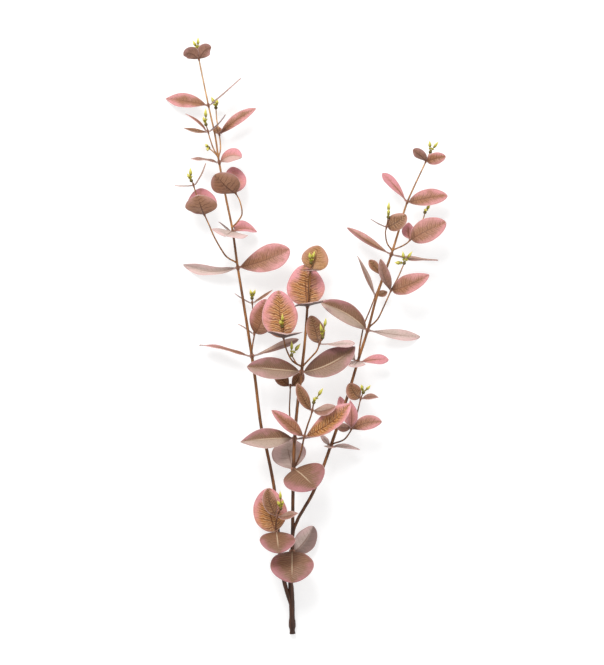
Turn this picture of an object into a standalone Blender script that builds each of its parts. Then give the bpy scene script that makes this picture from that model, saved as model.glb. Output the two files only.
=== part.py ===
"""A eucalyptus sprig with pink leaves and gum nut buds, cut from its tree and lying on a flat surface.

Metres, +Z up. +Y runs up the sprig from its cut end, +X to its right, and Z is the height over the surface.
Lengths in the tables are millimetres, and places there are measured from the cut end.
"""

import math

import bmesh
import bpy
from mathutils import Matrix, Vector

MM = 0.001
MIDDLE = (16.5, 358.7)  # the middle of the sprig's box, across and up from the cut end
WELD = 0.001
SHARP_ANGLE = math.radians(40)

# Stems
STEM_RESOLUTION = 2  # a bevel of 8 sides
TWIG_RESOLUTION = 1  # a bevel of 6 sides
STEPS_BETWEEN = 2  # pieces of a stem's curve between two of its points
FIT_GAP = 0.3  # clearance between one piece and the next

# Leaves
BLADE = 0.9  # thickness of a blade along its midrib
BLADE_AT_ROOT = 1.6
ROOT_HALF_WIDTH = 1.5
WAVE_TURNS = 1.5
WAVE_START = 0.6
SLEEVE_WALL = 0.9
SLEEVE_HEIGHT = 4.0
SLEEVE_SIDES = 6
LARGE_LEAF = 30.0  # a leaf longer than this is a large one
LARGE_GRID = (6, 2)  # its rows from root to tip, and its columns from midrib to margin
SMALL_GRID = (4, 1)

# Outlines: where the leaf is widest, and how blunt its base and its tip are
ROUND = (0.50, 0.50, 0.50)
OVAL = (0.55, 0.75, 0.60)
LANCE = (0.50, 0.85, 0.90)
SPOON = (0.66, 1.25, 0.55)

# Gum nuts
NUT_RADIUS = 1.9
NUT_STALK_RADIUS = 0.65
LONGEST_NUT = 9.5
KNOB_RADIUS = 2.2
KNOB_HEIGHT = 4.6
NUT_SIDES = 5

# Each stem: its points from foot to tip, (x, y, height), and its radius there
STEMS = {
    "main_stem": [
        ((0, 0, 3.5), 3.7),
        ((-0.3, 4.5, 4.1), 3.1),
        ((-0.4, 9, 4.7), 4.2),
        ((-0.5, 16, 5.6), 4.0),
        ((-0.6, 20, 6.1), 3.4),
        ((-0.9, 38, 8.4), 3.4),
        ((-1.8, 55, 10.5), 3.4),
        ((-2.2, 66, 12), 2.8),
        ((-0.5, 100, 16.5), 2.3),
        ((0.2, 130, 21), 2.1),
        ((0.5, 166, 26), 2.1),
        ((1.2, 199, 29.5), 2.1),
        ((2.6, 236, 32), 2.0),
        ((6, 276, 34), 1.9),
        ((11, 317, 35.5), 1.9),
        ((15, 354, 36), 1.6),
        ((18, 395, 36), 1.5),
        ((21.5, 437, 35), 1.2),
        ((22, 444, 35), 1.1),
    ],
    "left_branch": [
        ((-10.62, 66.2, 13.0), 2.4),
        ((-13.1, 76.8, 13.9), 2.3),
        ((-15.2, 92, 15), 2.1),
        ((-18, 136, 17.5), 2.0),
        ((-22, 176, 18.5), 2.0),
        ((-31, 222, 19.5), 1.9),
        ((-38, 252, 20), 1.9),
        ((-44.5, 304, 21), 1.8),
        ((-49, 336, 22), 1.8),
        ((-59, 400, 24), 1.6),
        ((-66, 443, 25), 1.5),
        ((-72, 486, 25.5), 1.4),
        ((-80, 525, 26), 1.3),
        ((-88.5, 570, 26), 1.2),
        ((-93, 600, 26), 1.1),
        ((-101, 636, 26), 1.0),
        ((-112.5, 692, 27), 0.8),
        ((-113.4, 700, 27), 0.8),
    ],
    "right_branch": [
        ((4.2, 133.5, 21.5), 2.0),
        ((8, 141.9, 21.2), 2.0),
        ((14, 152, 20.4), 2.0),
        ((27, 176, 20), 2.0),
        ((46, 227, 22), 1.9),
        ((64, 280, 24), 1.8),
        ((79, 330, 25), 1.7),
        ((91, 368, 26), 1.6),
        ((102, 409, 26.5), 1.5),
        ((119, 458, 27), 1.4),
        ((128, 487, 27), 1.3),
        ((138, 520, 27), 1.1),
        ((160, 568, 28), 0.8),
        ((164.4, 577.5, 28), 0.8),
    ],
}

# The forks of the main stem that carry the two branches: radius and points
FORKS = [
    (2.5, [(-1.2, 34, 8.2), (-5.2, 46, 10.7), (-8.5, 57.2, 12.2), (-10.5, 65.7, 12.96)]),
    (2.0, [(0.3, 118, 19.5), (1.0, 124.5, 21.2), (2.5, 129.75, 21.6), (4.03, 133.14, 21.5)]),
]

# Each twig: the stem that it grows from, its radius at foot and tip, and its points
TWIGS = {
    "left_twig_1": ("left_branch", 1.0, 0.7, [
        (-49.3, 339, 22), (-47.5, 351, 18), (-46, 361, 15), (-46.8, 376, 12), (-48, 390, 12),
        (-48.6, 402, 12),
    ]),
    "left_twig_2": ("left_branch", 1.0, 0.7, [
        (-67, 447, 25), (-78, 453, 29), (-85, 462, 31), (-94, 478, 31), (-100, 492, 31),
        (-106, 505, 31), (-112, 519, 33), (-117, 534, 34), (-119, 541, 35), (-120, 543, 35),
    ]),
    "left_twig_3": ("left_branch", 1.0, 0.7, [
        (-72.5, 489, 25.5), (-65, 497, 29), (-60.5, 506, 31), (-63, 520, 32), (-68, 530, 33),
        (-69, 533, 33.5),
    ]),
    "left_twig_4": ("left_branch", 0.9, 0.7, [
        (-89.3, 574, 26), (-94, 579, 31), (-99, 583, 35),
    ]),
    "left_twig_5": ("left_branch", 0.9, 0.7, [
        (-89.3, 574, 26), (-94.5, 583, 30), (-98.5, 594, 33), (-101.5, 605, 34), (-103, 610, 34),
    ]),
    "left_twig_6": ("left_branch", 0.9, 0.7, [
        (-89, 573, 26), (-86.5, 584, 22), (-88, 602, 18), (-91, 618, 16), (-92, 631, 15),
    ]),
    "centre_twig_1": ("main_stem", 1.3, 0.9, [
        (-0.4, 104, 17.5), (-11, 112, 22), (-19, 123, 27), (-20, 132, 30), (-18, 143, 33),
        (-15, 150, 34),
    ]),
    "centre_twig_2": ("main_stem", 1.2, 0.9, [
        (1.4, 200, 30), (9, 216, 37), (14, 238, 43), (18, 252, 46), (22.5, 265, 47.5),
        (25, 277, 48.5),
    ]),
    "centre_twig_3": ("main_stem", 1.0, 0.8, [
        (2.6, 238, 31), (-2, 252, 27), (-3.6, 269, 26), (-3, 286, 26), (-2.5, 301, 26),
    ]),
    "centre_twig_4": ("main_stem", 0.9, 0.8, [
        (11.3, 322, 36), (5, 326, 44), (0, 334, 49),
    ]),
    "centre_twig_5": ("main_stem", 1.1, 0.8, [
        (11.3, 322, 36), (0, 329, 41), (-7, 342, 43), (-10.8, 357, 43), (-12, 368, 43),
    ]),
    "centre_twig_6": ("main_stem", 1.1, 0.8, [
        (11.6, 322, 36), (21, 332, 43), (29, 341, 46), (32.5, 350, 47), (35, 355, 48),
    ]),
    "right_twig_1": ("right_branch", 1.0, 0.7, [
        (47, 229, 22.5), (61, 234, 27), (68, 242, 29), (71, 248, 29), (76, 260, 27), (79, 272, 27),
        (82, 284, 28), (84, 289, 29),
    ]),
    "right_twig_2": ("right_branch", 1.0, 0.7, [
        (79, 331, 25), (81.5, 350, 19), (86, 372, 17), (93, 390, 17), (100, 408, 17),
        (106, 424, 17), (109, 434, 18),
    ]),
    "right_twig_3": ("right_branch", 1.0, 0.7, [
        (91.5, 369, 26), (102, 379, 31), (109, 393, 34), (118, 413, 36), (126, 428, 34),
        (130.5, 438, 34), (133, 444, 34),
    ]),
    "right_twig_4": ("right_branch", 0.9, 0.7, [
        (119.5, 462, 27), (113.5, 470, 31), (111.5, 482, 33), (112.8, 490, 34.5), (114.3, 499, 37),
    ]),
    "right_twig_5": ("right_branch", 0.9, 0.7, [
        (120.3, 462, 27), (130, 466, 31), (137, 470, 33), (142, 475.5, 33), (150, 488, 28),
        (157, 500, 26), (158.5, 505, 26),
    ]),
}


def leaf(reach, wide, face, via=(0, 0, 0), shape=OVAL, fold=12, twist=0, wave=0):
    """One leaf of the table below.

    reach is the way from its stem to its tip, and face where its upper side looks.
    via is how far its midrib bows from the straight way. fold lifts its two halves and
    twist turns it towards the tip, in degrees. wave is the height of its margins' waves.
    """
    return {
        "reach": Vector(reach),
        "wide": wide,
        "face": Vector(face),
        "via": Vector(via),
        "shape": shape,
        "fold": math.radians(fold),
        "twist": math.radians(twist),
        "wave": wave,
    }


# The leaves that grow at one place: the stem or twig, the distance up from the cut end, and each leaf
LEAVES = {
    "left_leaves_01": ("left_branch", 335, [
        leaf((-63, 13, -8), 19, (0.0, 1.0, 0.55), via=(0, 2, 2), shape=SPOON, twist=35, wave=1.0),
        leaf((56, 20, -6), 20, (-0.2, 1.0, 0.4), via=(0, -3, 0), shape=SPOON, twist=15),
    ]),
    "left_leaves_02": ("left_twig_1", 362, [
        leaf((13, 41, 4), 31, (0.0, 0.1, 1.0), via=(6, -4, 6), shape=ROUND, fold=6),
        leaf((-19, 11, 1), 11, (0.4, 0.9, 0.05), fold=6),
    ]),
    "left_leaves_03": ("left_twig_1", 399, [
        leaf((-21, 11, -4), 8, (0.4, 0.9, 0.1), fold=6, via=(0, -3, 0)),
        leaf((24, 15, -2), 9, (-0.5, 0.8, 0.4), fold=6, via=(0, -2, 0)),
    ]),
    "left_leaves_04": ("left_branch", 441, [
        leaf((-66, 4, -29), 17, (0.0, 0.8, 0.75), via=(2, -13, -5), wave=1.0, twist=-15),
        leaf((62, 22, 6), 34, (-0.1, 0.25, 1.0), via=(4, -4, 2), shape=(0.62, 0.85, 0.55), fold=12),
    ]),
    "left_leaves_05": ("left_branch", 484, [
        leaf((29, 0, -14), 25, (0.0, 0.75, 0.65), via=(-4, 8, 3), shape=LANCE, fold=20),
        leaf((-8, -6, 42), 46, (0.2, 1.0, 0.2), via=(0, 1, 4), shape=ROUND, fold=4, wave=1.0),
        leaf((-17, 12, -10), 12, (0.5, 0.8, 0.1), via=(0, -2, 0)),
    ]),
    "left_leaves_06": ("left_twig_2", 505, [
        leaf((-7, 22, 20), 40, (0.1, 0.8, -0.65), via=(0, -4, 6), shape=(0.5, 0.6, 0.5), fold=-6),
        leaf((-5, 31, -6), 36, (0.0, 0.2, 1.0), via=(0, -6, -7), shape=ROUND, fold=6),
    ]),
    "left_leaves_07": ("left_twig_2", 540, [
        leaf((-22, -1, 4), 11, (0.0, 1.0, 0.12), via=(0, -2, 0), fold=5),
        leaf((15, 26, 4), 11, (-0.85, 0.5, 0.15), via=(3, -3, 0), fold=5),
    ]),
    "left_leaves_08": ("left_twig_3", 531, [
        leaf((-24, 21, 18), 38, (0.35, 0.5, -0.9), via=(0, -4, 6), shape=ROUND, fold=-8),
        leaf((-5, 31, -22), 28, (0.0, 0.4, 1.0), via=(3, -4, -9), shape=ROUND, fold=8),
    ]),
    "left_leaves_09": ("left_branch", 567.5, [
        leaf((-34, 4, 3), 19, (0.05, 1.0, 0.25), via=(0, 2, 0), shape=LANCE, fold=6, wave=0.8),
        leaf((27, 5, 8), 25, (-0.1, 0.75, 0.75), via=(0, 9, 2), shape=OVAL, fold=10),
    ]),
    "left_leaves_10": ("left_twig_5", 604, [
        leaf((-29, 4, 5), 14, (0.0, 1.0, 0.5), via=(0, -4, 0), shape=LANCE, fold=12),
        leaf((21, 20, 3), 13, (-0.7, 0.7, 0.15), via=(3, -3, 0), fold=5),
        leaf((-27, 21, 0), 8, (0.6, 0.8, 0.5), via=(4, 2, 0), shape=LANCE, fold=8),
    ]),
    "left_leaves_11": ("left_twig_6", 602, [
        leaf((44, 30, 7), 15, (-0.2, 0.4, 1.0), via=(-4, 2, 2), fold=10),
        leaf((-4, 10, -13), 12, (0.0, 0.8, 0.6), via=(0, -3, -2), fold=8),
    ]),
    "left_leaves_12": ("left_branch", 636, [
        leaf((-52, 9, -24), 21, (0.1, 0.45, 1.0), via=(6, 0, -2), shape=(0.64, 1.1, 0.85), fold=14),
        leaf((39, 32, 5), 18, (-0.62, 0.78, 0.1), via=(0, -3, 2), fold=4),
    ]),
    "left_leaves_13": ("left_branch", 692, [
        leaf((-18, 3, 8), 19, (-0.3, 0.8, -0.8), via=(-1, 9, 2), shape=ROUND, fold=-8),
        leaf((15, 13, 5), 17, (0.4, 0.8, -0.9), via=(-1, 5, 4), shape=ROUND, fold=-8),
    ]),
    "centre_leaves_01": ("main_stem", 100, [
        leaf((0, -36, 32), 53, (0.0, 0.7, 0.8), via=(0, 4, 9), shape=ROUND, fold=5),
        leaf((25, 30, -8), 27, (0.3, 0.1, 1.0), via=(4, -6, -5), shape=ROUND, fold=14),
    ]),
    "centre_leaves_02": ("centre_twig_1", 124, [
        leaf((-9, 52, -4), 41, (0.1, 0.1, 1.0), via=(-6, -6, -8), shape=ROUND, fold=6),
        leaf((3, -24, 34), 43, (0.0, 0.85, 0.55), via=(0, 4, 8), shape=ROUND, fold=5),
    ]),
    "centre_leaves_03": ("centre_twig_1", 143, [
        leaf((-12, 33, 4), 19, (0.3, 0.1, 1.0), via=(-5, -3, 2), shape=OVAL, fold=14),
        leaf((25, 4, 12), 17, (0.0, 1.0, 0.8), via=(0, -4, 0), shape=LANCE, fold=14),
    ]),
    "centre_leaves_04": ("main_stem", 199, [
        leaf((26, -22, 28), 55, (0.0, 0.7, 0.9), via=(0, 4, 8), shape=ROUND, fold=6),
        leaf((-9, 36, -18), 42, (0.0, 0.3, 1.0), via=(0, -8, -8), shape=(0.62, 0.8, 0.5), fold=8),
    ]),
    "centre_leaves_05": ("main_stem", 236, [
        leaf((-65, -4, 8), 28, (0.0, 0.5, 1.0), via=(0, 3, 6), shape=LANCE, fold=14),
        leaf((43, 8, 0), 20, (0.0, 1.0, 0.15), via=(0, -4, 0), fold=6),
    ]),
    "centre_leaves_06": ("centre_twig_2", 239, [
        leaf((-39, 31, 8), 20, (0.35, 0.6, 1.0), via=(4, -5, 2), shape=OVAL, fold=14),
        leaf((55, 39, 12), 29, (-0.3, 0.45, 1.0), via=(4, -8, 4), shape=(0.60, 0.80, 0.65), fold=22),
    ]),
    "centre_leaves_07": ("centre_twig_2", 270, [
        leaf((-18, 32, 6), 17, (0.5, 0.4, 1.0), via=(-3, -4, 2), shape=OVAL, fold=14),
        leaf((28, 5, 10), 18, (0.0, 0.8, 1.0), via=(0, -6, 0), shape=OVAL, fold=14),
    ]),
    "centre_leaves_08": ("centre_twig_3", 299, [
        leaf((-17, 18, -4), 17, (0.2, 0.2, 1.0), via=(-2, -3, 0), fold=10),
        leaf((14, 17, -4), 15, (-0.2, 0.2, 1.0), via=(3, -3, 0), fold=10),
    ]),
    "centre_leaves_09": ("main_stem", 316, [
        leaf((-65, 6, 7), 30, (0.0, 0.45, 1.0), via=(2, 0, 5), shape=OVAL, fold=14),
        leaf((64, 30, 8), 33, (0.05, 0.35, 1.0), via=(5, -9, 5), shape=(0.52, 0.65, 0.75), fold=12),
    ]),
    "centre_leaves_10": ("centre_twig_5", 357, [
        leaf((-6, 56, -3), 43, (0.0, 0.05, 1.0), via=(-2, -6, -7), shape=ROUND, fold=6),
        leaf((5, 4, 36), 43, (0.0, 1.0, -0.12), via=(0, 3, 0), shape=ROUND, fold=-10),
    ]),
    "centre_leaves_11": ("centre_twig_6", 350, [
        leaf((-11, 33, -3), 22, (0.0, 0.15, 1.0), via=(2, -4, -5), shape=ROUND, fold=8),
        leaf((42, 0, 4), 14, (0.0, 1.0, 0.25), via=(0, -2, 0), shape=SPOON, twist=45, fold=8),
    ]),
    "centre_leaves_12": ("main_stem", 395, [
        leaf((-4, 49, -4), 46, (0.0, 0.1, 1.0), via=(0, -8, -8), shape=ROUND, fold=6),
        leaf((6, 4, 36), 40, (-0.15, 1.0, 0.08), via=(0, 1, 0), shape=ROUND, fold=4, wave=1.0),
    ]),
    "centre_leaves_13": ("main_stem", 438, [
        leaf((10, 29, -2), 33, (0.0, 0.15, 1.0), via=(0, -5, -6), shape=ROUND, fold=6),
        leaf((2, -1, 22), 22, (0.0, 1.0, 0.1), via=(0, 0, 0), shape=ROUND, fold=4),
    ]),
    "right_leaves_01": ("right_branch", 227, [
        leaf((35, -5, -4), 15, (0.0, 1.0, 0.4), via=(0, 3, 0), shape=LANCE, fold=8),
        leaf((-12, 14, -6), 12, (0.5, 0.6, 0.5), via=(0, -2, 0), fold=8),
        leaf((-2, -2, 22), 15, (0.1, 1.0, 0.1), fold=6),
    ]),
    "right_leaves_02": ("right_twig_1", 248, [
        leaf((36, 8, 4), 19, (-0.05, 0.35, 1.0), via=(-2, 5, 2), shape=OVAL, fold=10),
        leaf((-2, 34, 6), 16, (0.4, 0.1, 1.0), via=(2, -3, 2), shape=LANCE, fold=14),
        leaf((-18, 3, -4), 12, (0.1, 0.4, 1.0), via=(0, -2, 0), fold=8),
        leaf((-14, 38, -15), 13, (0.1, 0.1, 1.0), via=(-2, -4, -7), shape=SPOON, fold=8),
    ]),
    "right_leaves_03": ("right_twig_1", 284, [
        leaf((-14, 18, 0), 20, (0.2, 0.2, 1.0), via=(-2, -4, -3), shape=ROUND, fold=10),
        leaf((21, 1, 5), 10, (0.0, 0.7, 0.8), via=(0, 3, 0), shape=LANCE, fold=10),
    ]),
    "right_leaves_04": ("right_branch", 328, [
        leaf((37, 2, -6), 15, (0.0, 0.7, 0.9), via=(0, 3, 0), shape=SPOON, fold=8, twist=10),
        leaf((-17, 24, -6), 16, (0.3, 0.3, 1.0), via=(-2, -4, -3), shape=SPOON, fold=8),
        leaf((-6, -6, 28), 24, (0.1, 1.0, 0.1), shape=ROUND, fold=5),
    ]),
    "right_leaves_05": ("right_branch", 366, [
        leaf((-56, 33, 5), 27, (0.1, 0.4, 1.0), via=(8, 4, 4), shape=OVAL, fold=18),
        leaf((63, -8, -30), 18, (0.0, 0.65, 0.8), via=(0, -3, -2), shape=SPOON, fold=8),
    ]),
    "right_leaves_06": ("right_twig_2", 408, [
        leaf((-22, 47, 2), 12, (-0.8, -0.3, 0.5), via=(3, -3, 0), shape=LANCE, fold=4),
        leaf((14, 4, -6), 11, (0.0, 0.6, 0.8), via=(0, -1, -2), fold=8),
    ]),
    "right_leaves_07": ("right_twig_2", 431, [
        leaf((-16, 19, 1), 13, (0.4, 0.3, 1.0), via=(0, 0, 0), shape=SPOON, fold=8),
    ]),
    "right_leaves_08": ("right_twig_3", 414, [
        leaf((-13, 37, 10), 22, (0.8, 0.2, -0.6), via=(-3, -6, 3), shape=OVAL, fold=-10),
        leaf((45, 18, 8), 26, (-0.1, 0.5, 1.0), via=(2, -3, 5), shape=(0.38, 0.50, 0.65), fold=14),
    ]),
    "right_leaves_09": ("right_branch", 457, [
        leaf((-53, 32, -6), 17, (0.5, 0.7, 0.8), via=(2, -4, 0), shape=SPOON, fold=12, twist=12),
        leaf((56, -7, 3), 14, (0.0, 1.0, 0.35), via=(-4, -4, 0), shape=OVAL, fold=8, wave=1.0),
    ]),
    "right_leaves_10": ("right_twig_4", 490, [
        leaf((23, 14, 4), 22, (-0.1, 0.3, 1.0), via=(0, -4, 3), shape=ROUND, fold=10),
        leaf((-19, 9, -4), 9, (0.4, 0.9, 0.05), via=(0, -2, 0), fold=5),
    ]),
    "right_leaves_11": ("right_twig_5", 475, [
        leaf((42, 20, 4), 30, (-0.1, 0.3, 1.0), via=(-4, 0, 5), shape=ROUND, fold=8),
        leaf((-2, 20, -10), 16, (0.1, 0.4, 1.0), via=(-3, -4, -4), fold=8),
    ]),
    "right_leaves_12": ("right_branch", 520, [
        leaf((-30, 34, -4), 14, (0.4, 0.3, 1.0), via=(4, -1, 0), shape=(0.76, 1.3, 0.5), fold=8),
        leaf((48, 7, -3), 24, (-0.05, 0.55, 1.0), via=(-2, 2, 3), shape=(0.56, 0.65, 0.55), fold=10),
    ]),
    "right_leaves_13": ("right_branch", 569, [
        leaf((-16, 13, 6), 16, (0.5, 0.6, -0.9), via=(0, 2, 5), shape=ROUND, fold=-6),
        leaf((23, 5, 7), 15, (0.1, 0.1, 1.0), via=(-2, 0, 6), shape=ROUND, fold=8),
    ]),
}

# The gum nuts at the end of a stem or twig: the way from its tip to the point of each nut
GUM_NUTS = {
    "left_gum_nuts_1": ("left_twig_1", [(-2.5, 13, 3), (4, 13, -1)]),
    "left_gum_nuts_2": ("left_twig_2", [(-6, 11, 2), (-2.5, 18, 0)]),
    "left_gum_nuts_3": ("left_twig_4", [(-5.5, 6, 3), (-3, -1.5, 9)]),
    "left_gum_nuts_4": ("left_twig_5", [(-4, 12, 2), (-1, 22, 0)]),
    "left_gum_nuts_5": ("left_twig_6", [(-6, 16, 2), (2, 13, -2)]),
    "left_gum_nuts_6": ("left_branch", [(-6.5, 14, 0), (0, 18, 1)]),
    "centre_gum_nuts_1": ("centre_twig_1", [(0, 24, 4), (4, 13, -2), (-3, 12, 5)]),
    "centre_gum_nuts_2": ("centre_twig_2", [(2, 9, 5), (12, 20, 2)]),
    "centre_gum_nuts_3": ("centre_twig_4", [(-1, 19, 4), (10, 16, 2)]),
    "centre_gum_nuts_4": ("centre_twig_5", [(0, 18, 3), (-3, 10, 6)]),
    "centre_gum_nuts_5": ("centre_twig_6", [(5, 26, 3), (-2, 19, 4)]),
    "centre_gum_nuts_6": ("main_stem", [(-2, 15, 5), (5, 17, 3)]),
    "right_gum_nuts_1": ("right_twig_1", [(-2, 12, 5), (10, 11, 3)]),
    "right_gum_nuts_2": ("right_twig_3", [(-1, 17, 3), (11, 17, 2), (-11, 3, 3)]),
    "right_gum_nuts_3": ("right_twig_4", [(1.5, 21, 0), (1, 12, 5)]),
    "right_gum_nuts_4": ("right_twig_5", [(1.5, 7, 3), (7, 12, 0)]),
    "right_gum_nuts_5": ("right_branch", [(0, 16, 2), (11, 15, 2)]),
}

COLOURS = {
    "stem": ((0.16, 0.09, 0.05), 0.6),
    "leaf": ((0.55, 0.31, 0.30), 0.5),
    "gum_nut": ((0.55, 0.58, 0.13), 0.45),
}


def material(name):
    """The plain finish of one kind of piece."""
    made = bpy.data.materials.get(name)
    if made is None:
        made = bpy.data.materials.new(name)
        made.use_nodes = True
        shader = made.node_tree.nodes["Principled BSDF"]
        colour, roughness = COLOURS[name]
        shader.inputs["Base Color"].default_value = (*colour, 1)
        shader.inputs["Roughness"].default_value = roughness
        shader.inputs["Metallic"].default_value = 0
    return made


def smooth(points):
    """More points on a Catmull-Rom curve through a stem's own, each a place and a radius."""
    rows = [Vector((*place, radius)) for place, radius in points]
    rows = [2 * rows[0] - rows[1], *rows, 2 * rows[-1] - rows[-2]]
    made = []
    for before, start, end, after in zip(rows, rows[1:], rows[2:], rows[3:]):
        leave, arrive = (end - before) / 2, (after - start) / 2
        for step in range(STEPS_BETWEEN):
            t = step / STEPS_BETWEEN
            curve = (2 * t**3 - 3 * t**2 + 1) * start + (t**3 - 2 * t**2 + t) * leave
            curve += (3 * t**2 - 2 * t**3) * end + (t**3 - t**2) * arrive
            made.append(curve)
    made.append(rows[-2])
    return [(Vector(row[:3]), row[3]) for row in made]


def tapered(points, foot, tip):
    """Points with a radius that goes evenly from the foot's to the tip's."""
    last = len(points) - 1
    return [(point, foot + (tip - foot) * i / last) for i, point in enumerate(points)]


def smooth_lines():
    """The smooth line of every stem and twig."""
    made = {name: smooth(points) for name, points in STEMS.items()}
    for name, (_, foot, tip, points) in TWIGS.items():
        made[name] = smooth(tapered(points, foot, tip))
    return made


def along(line, distance):
    """The place, direction and radius of a line at a distance up from the cut end."""
    for (low, low_radius), (high, high_radius) in zip(line, line[1:]):
        if low.y <= distance <= high.y:
            t = (distance - low.y) / (high.y - low.y)
            radius = low_radius + (high_radius - low_radius) * t
            return low.lerp(high, t), (high - low).normalized(), radius
    raise ValueError(f"the line doesn't reach {distance}")


def tube(line, resolution):
    """A round stem along a line, closed at both ends, and flat where it rests."""
    curve = bpy.data.curves.new("tube", "CURVE")
    curve.dimensions = "3D"
    curve.bevel_depth = 1
    curve.bevel_resolution = resolution
    curve.use_fill_caps = True
    spline = curve.splines.new("POLY")
    spline.points.add(len(line) - 1)
    for point, (place, radius) in zip(spline.points, line):
        point.co = (*place, 1)
        point.radius = radius
    holder = bpy.data.objects.new("tube", curve)
    bpy.context.scene.collection.objects.link(holder)
    mesh = evaluated(holder)
    bpy.data.objects.remove(holder)
    bm = bmesh.new()
    bm.from_mesh(mesh)
    bmesh.ops.remove_doubles(bm, verts=bm.verts, dist=WELD)
    for vert in bm.verts:
        vert.co.z = max(vert.co.z, 0)
    bmesh.ops.recalc_face_normals(bm, faces=bm.faces)
    bm.to_mesh(mesh)
    bm.free()
    return mesh


def turned(profile, sides, start, direction):
    """A profile of (radius, distance along the axis) turned about an axis from its start."""
    bm = bmesh.new()
    ring = profile[0] == profile[-1]
    verts = [bm.verts.new((radius, 0, height)) for radius, height in profile[: -1 if ring else None]]
    edges = [bm.edges.new(pair) for pair in zip(verts, verts[1:])]
    if ring:
        edges.append(bm.edges.new((verts[-1], verts[0])))
    bmesh.ops.spin(bm, geom=verts + edges, axis=(0, 0, 1), cent=(0, 0, 0), steps=sides, angle=math.tau)
    bmesh.ops.remove_doubles(bm, verts=bm.verts, dist=WELD)
    bmesh.ops.recalc_face_normals(bm, faces=bm.faces)
    turn = direction.to_track_quat("Z", "Y").to_matrix().to_4x4()
    bmesh.ops.transform(bm, matrix=Matrix.Translation(start) @ turn, verts=bm.verts)
    mesh = bpy.data.meshes.new("turned")
    bm.to_mesh(mesh)
    bm.free()
    return mesh


def half_width(spec, u):
    """Half the leaf's width at the share u of its length."""
    widest, base, tip = spec["shape"]
    if u < widest:
        share = math.sin(math.pi / 2 * u / widest) ** base
    else:
        share = max(0.0, math.cos(math.pi / 2 * (u - widest) / (1 - widest))) ** tip
    return max(ROOT_HALF_WIDTH * (1 - 2 * u), spec["wide"] / 2 * share)


def midrib_bends(spec, node, direction, wall):
    """The three points of a leaf's midrib: in its sleeve's wall, at its bend and at its tip."""
    reach = spec["reach"]
    bend = node + reach / 2 + spec["via"]
    away = bend - node
    away = (away - away.dot(direction) * direction).normalized()
    return node + away * wall, bend, node + reach


def midrib(bends, u):
    """The place and direction of a midrib at the share u of its length."""
    start, bend, end = bends
    place = (1 - u) ** 2 * start + 2 * u * (1 - u) * bend + u**2 * end
    return place, (2 * (1 - u) * (bend - start) + 2 * u * (end - bend)).normalized()


def blade_point(spec, bends, u, a):
    """The middle of the blade's thickness at u along the midrib and a across it, and its normal."""
    place, direction = midrib(bends, u)
    face = spec["face"]
    normal = (face - face.dot(direction) * direction).normalized()
    normal = Matrix.Rotation(spec["twist"] * u**1.5, 3, direction) @ normal
    fold = math.copysign(spec["fold"], a)
    across = direction.cross(normal) * math.cos(fold) + normal * math.sin(fold)
    ripple = spec["wave"] * math.sin(WAVE_TURNS * math.tau * u + WAVE_START) * a * abs(a)
    ripple *= min(1, 4 * u)
    return place + across * (a * half_width(spec, u)) + normal * ripple, normal


def blade(spec, bends):
    """One leaf's blade, closed: thick at its root, sharp at its margins, and flat where it rests."""
    rows, columns = LARGE_GRID if spec["reach"].length > LARGE_LEAF else SMALL_GRID
    shares = [i / columns for i in range(-columns, columns + 1)]
    bm = bmesh.new()
    upper, lower = [], []
    for row in range(rows):
        u = row / rows
        thick = BLADE + (BLADE_AT_ROOT - BLADE) * max(0, 1 - 4 * u)
        top, bottom = [], []
        for a in shares:
            point, normal = blade_point(spec, bends, u, a)
            half = thick / 2 * math.sqrt(1 - a * a)
            high, low = point + normal * half, point - normal * half
            lift = Vector((0, 0, max(0, -high.z, -low.z)))
            top.append(bm.verts.new(high + lift))
            bottom.append(top[-1] if abs(a) == 1 else bm.verts.new(low + lift))
        upper.append(top)
        lower.append(bottom)
    tip = midrib(bends, 1)[0]
    tip = bm.verts.new((tip.x, tip.y, max(tip.z, 0)))
    for grid in (upper, lower):
        grid.append([tip] * len(shares))
        for near, far in zip(grid, grid[1:]):
            for i in range(len(shares) - 1):
                for face in ((near[i], near[i + 1], far[i + 1]), (near[i], far[i + 1], far[i])):
                    if len(set(face)) == 3:
                        bm.faces.new(face)
    bm.faces.new(upper[0] + lower[0][-2:0:-1])
    bmesh.ops.recalc_face_normals(bm, faces=bm.faces)
    bmesh.ops.triangulate(bm, faces=[face for face in bm.faces if len(face.verts) > 3])
    mesh = bpy.data.meshes.new("blade")
    bm.to_mesh(mesh)
    bm.free()
    return mesh


def evaluated(thing):
    """A new mesh of an object with its curves and modifiers applied."""
    bpy.context.view_layer.update()
    return bpy.data.meshes.new_from_object(thing.evaluated_get(bpy.context.evaluated_depsgraph_get()))


def joined(name, meshes, finish, place):
    """One object at its place, in metres, from meshes that overlap, in millimetres."""
    to_metres = Matrix.Scale(MM, 4) @ Matrix.Translation(-place)
    for mesh in meshes:
        mesh.transform(to_metres)
    body = bpy.data.objects.new(name, meshes[0])
    bpy.context.scene.collection.objects.link(body)
    helpers = bpy.data.collections.new("helpers")
    bpy.context.scene.collection.children.link(helpers)
    for mesh in meshes[1:]:
        helpers.objects.link(bpy.data.objects.new("helper", mesh))
    union = body.modifiers.new("union", "BOOLEAN")
    union.operation = "UNION"
    union.operand_type = "COLLECTION"
    union.collection = helpers
    union.solver = "EXACT"
    mesh = evaluated(body)
    body.modifiers.clear()
    body.data = mesh
    for helper in list(helpers.objects):
        bpy.data.objects.remove(helper)
    bpy.data.collections.remove(helpers)
    mesh.name = name
    mesh.materials.clear()
    mesh.materials.append(material(finish))
    mesh.shade_smooth()
    mesh.set_sharp_from_angle(angle=SHARP_ANGLE)
    body.location = place * MM
    return body


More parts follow.
